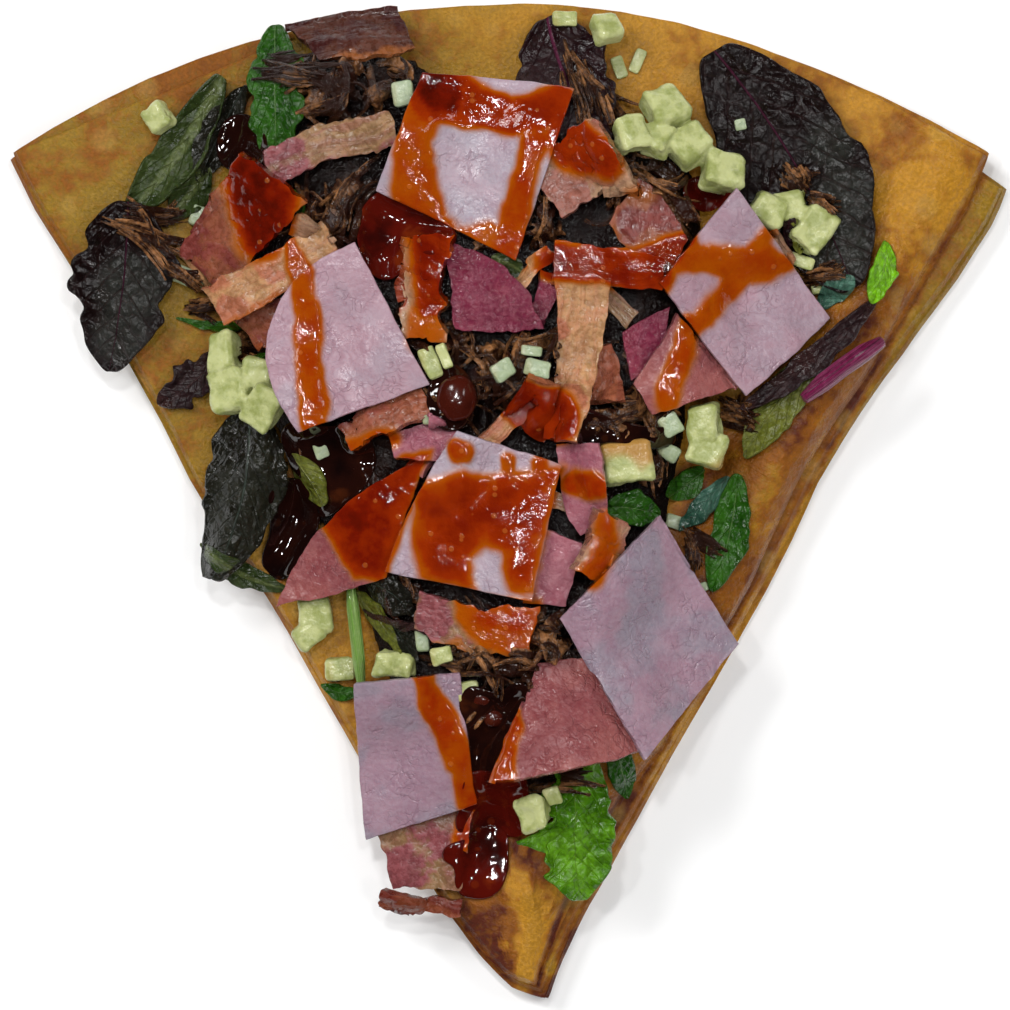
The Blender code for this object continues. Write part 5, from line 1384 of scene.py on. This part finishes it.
curedLooks = {
    # node: base, tip of its grain, thickness, material, waviness, ragged edge, lean share
    "cooked_ham_rim": ((-43, 90), (-20, 93), 1.5, "rimBacon", 0.5, 0.4, 0.5),
    "cooked_ham_wine": ((-11, 50), (6, 35), 2.4, "wineHam", 0.8, 0.6, 0),
    "cooked_ham_fold": ((31, 38), (24, 24), 1.5, "wineHam", 0.3, 0.3, 0),
    "cooked_ham_sauced": ((33, 37), (36, 18), 1.5, "darkHam", 0.3, 0.3, 0),
    "cooked_ham_mid": ((14, 12), (16, -6), 1.5, "pinkHam", 0.5, 0.3, 0),
    "cooked_ham_left": ((-15, 10), (-44, -20), 1.5, "darkHam", 0.4, 0.4, 0),
    "cooked_ham_left_tab": ((-23, 11), (-9, 14), 1.5, "pinkHam", 0.3, 0.3, 0),
    "cooked_ham_tab": ((5, -8), (12, -14), 1.5, "pinkHam", 0.4, 0.3, 0),
    "cooked_ham_low": ((6, -31), (10, -52), 1.5, "darkHam", 0.4, 0.3, 0),
    "bacon_left_under": ((-52, 37), (-42, 34), 1.8, "redBacon", 0.3, 0.5, 0.4),
    "bacon_right_flat": ((28, 44), (24, 60), 1.8, "redBacon", 0.5, 0.5, 0.6),
    "bacon_fat_low": ((-23, -64), (-22, -75), 1.8, "pinkBacon", 0.4, 0.6, 0.35),
    "bacon_rim": ((-46, 64.5), (-21.5, 73), 2.0, "pinkBacon", 0.7, 0.7, 0.15),
    "bacon_left_wide": ((-59, 45.5), (-44.5, 63.5), 1.8, "redBacon", 0.5, 0.6, 0.55),
    "bacon_left_strip": ((-56.5, 38.5), (-33.5, 52), 1.8, "bacon", 0.6, 0.6, 0.25),
    "bacon_right_lump": ((8.5, 59), (22, 68), 2.4, "tanBacon", 0.9, 0.8, 0.3),
    "bacon_under_left": ((-31, 12.5), (-15.5, 20), 1.8, "redBacon", 0.6, 0.7, 0.4),
    "bacon_saucy": ((9, 46.5), (30.5, 44.5), 1.8, "tanBacon", 0.5, 0.5, 0.3),
    "bacon_mid_left": ((-14.5, 52), (-15.5, 32), 2.1, "tanBacon", 0.8, 0.9, 0.3),
    "bacon_centre_low": ((-5, 11.5), (6, 20), 1.8, "bacon", 0.4, 0.4, 0.4),
    "bacon_upright": ((14.8, 44.5), (11.3, 12.2), 2.1, "bacon", 0.6, 0.5, 0.3),
    "bacon_lump": ((19.5, -2), (14.5, -13.5), 2.8, "tanBacon", 0.8, 0.6, 0.3),
    "bacon_under_slice": ((-17, -20.5), (5, -24.5), 1.8, "pinkBacon", 0.6, 0.8, 0.35),
    "bacon_crust_tip": ((-23.5, -75.8), (-8.5, -78.6), 2.4, "crustBacon", 0.3, 0.6, 0.3),
}
leanSpots = {
    # node: patches of red meat (x, y, radius)
    "bacon_rim": ((-43, 66.5, 6),), "bacon_left_strip": ((-45, 46, 4), (-53, 37.5, 4)),
    "bacon_right_lump": ((12, 61, 5), (18, 70, 4)), "bacon_right_flat": ((32, 57, 5), (24, 55, 4)),
    "bacon_under_slice": ((-14, -22, 5),), "bacon_fat_low": ((-21, -72, 7),),
    "bacon_upright": ((9.4, 34, 3), (13, 20, 3)),
    "bacon_lump": ((16, -4, 4),), "bacon_mid_left": ((-15, 48, 5),),
}
sauceFree = ("bacon_rim", "cooked_ham_wine")
pileTop = ground.copy()


def buildSlice(node, base, tip, thickness, material, wavy, ragged, lean, slot):
    piece = undersideOf(node, pieceName(node))
    subdivide(piece, 3 if slot == "ham" else 4, corners=True)
    u, v, side = alongAxis(piece, base, tip)
    points = pointsOf(piece)
    points[:, :2] += ragged * softShift(points, 3.0, 3, 11)
    points[:, :2] += ragged * 0.45 * softShift(points, 1.1, 5, 9)
    points[:, 2] += wavy * 0.5 * (1 + softNoise(points, 5.0, 7))
    movePoints(piece, points)
    bands = np.column_stack((u * np.hypot(*np.subtract(tip, base)) / 14, v * 1.5,
                             np.full(len(u), thickness * 7)))
    meat = lean + 0.5 * softNoise(bands, 1.0, 3) + 0.15 * softNoise(points, 2, 5)
    for x, y, radius in leanSpots.get(node, ()):
        meat += 0.8 * spotMask(points, x, y, radius)
    paintMask(piece, "lean", meat)
    paintMask(piece, "rind", ramp(0.62, 0.98, -v + 0.12 * softNoise(points, 3, 6)))
    thicken(piece, thickness, 0.3 if slot != "ham" else 0.2)
    film = paintFilm(piece, 0.0 if node in sauceFree else 1.0)
    points = pointsOf(piece)
    top = ramp(0.2, 0.7, normalsOf(piece)[:, 2])
    bumps = 0.3 * softNoise(points, 2.4, 8) + 0.14 * softNoise(points, 1.0, 2)
    rise = (0.12 if slot == "ham" else 0.5 * (1 + thickness / 3)) * bumps * (1 - ramp(0.05, 0.3, film))
    sauceRise = 0.7 * ramp(0.0, 0.5, film) * (1 + 0.25 * softNoise(points, 3.2, 4))
    points[:, 2] += top * (rise + sauceRise)
    movePoints(piece, points)
    finishPiece(piece, material, (node,), onto=pileTop)


for node, values in curedLooks.items():
    buildSlice(node, *values, "bacon" if node.startswith("bacon") else "cooked_ham")
print("bacon and dark ham done")


# Pale ham slices

hamLooks = {
    # node: base and tip of its grain, waviness, material
    "ham_top": ((-16, 83), (1.8, 47), 0.2, "ham"),
    "ham_left": ((-29, 50), (-40, 14), 0.15, "rosyHam"),
    "ham_right": ((44, 61), (46, 21), 0.2, "rosyHam"),
    "ham_centre": ((-9.6, 14), (5, -18), 0.2, "ham"),
    "ham_lower_right": ((29, -2), (26, -49), 0.35, "greyHam"),
    "ham_lower_left": ((-29, -34), (-27, -65), 0.2, "greyHam"),
}
for node, (base, tip, wavy, material) in hamLooks.items():
    buildSlice(node, base, tip, 1.2, material, wavy, 0.16, 0, "ham")
print("ham done")


# Pools of sauce and glazed lumps

pools = {
    # piece: material, height, lift, outline
    "poolByStalk": ("darkSauce", 1.2, 0.6, (
        (-55.6, 72), (-53.0, 75.4), (-49.4, 74.6), (-47.0, 70), (-47.6, 66.6), (-50.0, 65.4), (-53.0, 65.4),
        (-55.4, 67.4))),
    "poolLeft": ("darkSauce", 1.3, 0.4, (
        (-42.6, 14.6), (-35.6, 14.4), (-29.0, 14.2), (-26.0, 9.8), (-27.4, 4.8), (-31.6, 0.8),
        (-36.8, -1.6), (-37.4, 4.4), (-40.0, 6.0), (-42.0, 9.4))),
    "poolLowLeft": ("darkSauce", 1.3, 0.1, (
        (-44.8, 3.0), (-41.0, 4.4), (-37.2, 0.4), (-37.4, -4.4), (-39.0, -9.6), (-42.0, -13.4),
        (-46.4, -13.0), (-45.4, -5))),
    "poolTip": ("darkSauce", 1.4, 0.3, (
        (-7.6, -36.4), (-2, -37.0), (3.4, -35.4), (4.0, -39.4), (2.0, -44), (-0.4, -49), (-2.6, -53.4),
        (-5.4, -53.4), (-6.6, -45))),
    "sauceTip": ("redSauce", 1.2, 0.7, (
        (-7.0, -52.8), (-2.6, -52.2), (1.8, -51.6), (3.6, -55), (2.6, -60.4), (2.8, -63.6), (-3, -63.4),
        (-8.6, -63.8), (-8.4, -58))),
    "sauceTipDark": ("redSauce", 1.1, 1.1, (
        (-12.0, -68.2), (-8.0, -65.6), (-4, -63.2), (-1.0, -63.8), (-0.2, -68), (-0.6, -72.4),
        (-2.6, -75.6), (-6.2, -76.4), (-9.0, -75.2), (-9.8, -70.6))),
    "poolUnderTop": ("redSauce", 1.2, 0.5, (
        (-25.4, 59.4), (-21.4, 60.4), (-17.0, 57.4), (-11.0, 53.4), (-10.4, 51.2), (-13.2, 48.6),
        (-18.8, 49), (-20.4, 45.6), (-24.2, 44.2), (-27.4, 48.4), (-28.2, 53.2))),
    "poolRight": ("darkSauce", 0.9, 0.2, (
        (14.6, 17.6), (20, 16.4), (26, 14.8), (32.4, 13.0), (29.0, 11.2), (21, 12.4), (13.6, 12.8))),
    "poolUnderRight": ("redSauce", 0.9, 0.2, ((34.8, 61.4), (39.4, 63.4), (43.2, 61.0), (40.4, 57.8),
                                              (36.4, 58.0))),
    "poolBelowHam": ("darkSauce", 1.0, 0.2, ((-9.6, 26.4), (-8.0, 16.0), (-13.6, 15.6), (-14.8, 21.6),
                                             (-12.8, 25.4))),
}


def buildPool(name, material, height, lift, outline):
    # a flat outline with a rounded rim, remeshed and laid in the hollows of the pile
    curve = bpy.data.curves.new(name, "CURVE")
    curve.dimensions = "2D"
    curve.fill_mode = "BOTH"
    curve.extrude = 0.15 * mm
    curve.bevel_depth = height * 0.6 * mm
    curve.bevel_resolution = 3
    curve.resolution_u = 8
    spline = curve.splines.new("BEZIER")
    spline.bezier_points.add(len(outline) - 1)
    for knot, (x, y) in zip(spline.bezier_points, outline):
        knot.co = (x * mm, y * mm, 0)
        knot.handle_left_type = knot.handle_right_type = "AUTO"
    spline.use_cyclic_u = True
    piece = newObject(name, curve)
    selectOnly(piece)
    bpy.ops.object.convert(target="MESH")
    remesh(piece, 0.35, 5)
    points = pointsOf(piece)
    under = 0.75 * readMap(wideTop, points) + 0.25 * readMap(smoothTop, points)
    flat = points * (1, 1, 0)
    waves = 0.3 * softNoise(flat, 3.6, 5) + 0.05 * softNoise(flat, 1.2, 7)
    rise = points[:, 2] * 0.8 + waves * (points[:, 2] > 0)
    points[:, 2] = under + rise + lift - 0.7
    movePoints(piece, points)
    paintMask(piece, "film", 0.55 + 0.45 * softNoise(flat, 5.0, 2))
    finishPiece(piece, material, (), 80, pileTop)


def buildLump(name, centre, radii, lift):
    piece = newPrimitive(name, bpy.ops.mesh.primitive_uv_sphere_add, segments=48, ring_count=24, radius=1)
    points = pointsOf(piece) * mm
    points *= (1 + 0.08 * softNoise(points, 0.6, centre[0]))[:, None]
    z = float(readMap(smoothTop, centre)) + lift
    movePoints(piece, points * radii + (*centre, z))
    paintMask(piece, "film", np.full(len(points), 0.5))
    finishPiece(piece, "glaze", (), 80)


smoothTop, wideTop = blurred(pileTop, 3), blurred(pileTop, 36)
for name, values in pools.items():
    buildPool(name, *values)
buildLump("glazedBall", (-9.5, 20.6), (3.9, 4.4, 2.6), 0.6)
buildLump("glazedLumpLow", (-5.0, -37.4), (2.2, 1.8, 0.9), 0.2)
buildLump("glazedLumpTip", (-2.6, -41.4), (1.9, 1.7, 0.9), 0.2)
print("sauce done")
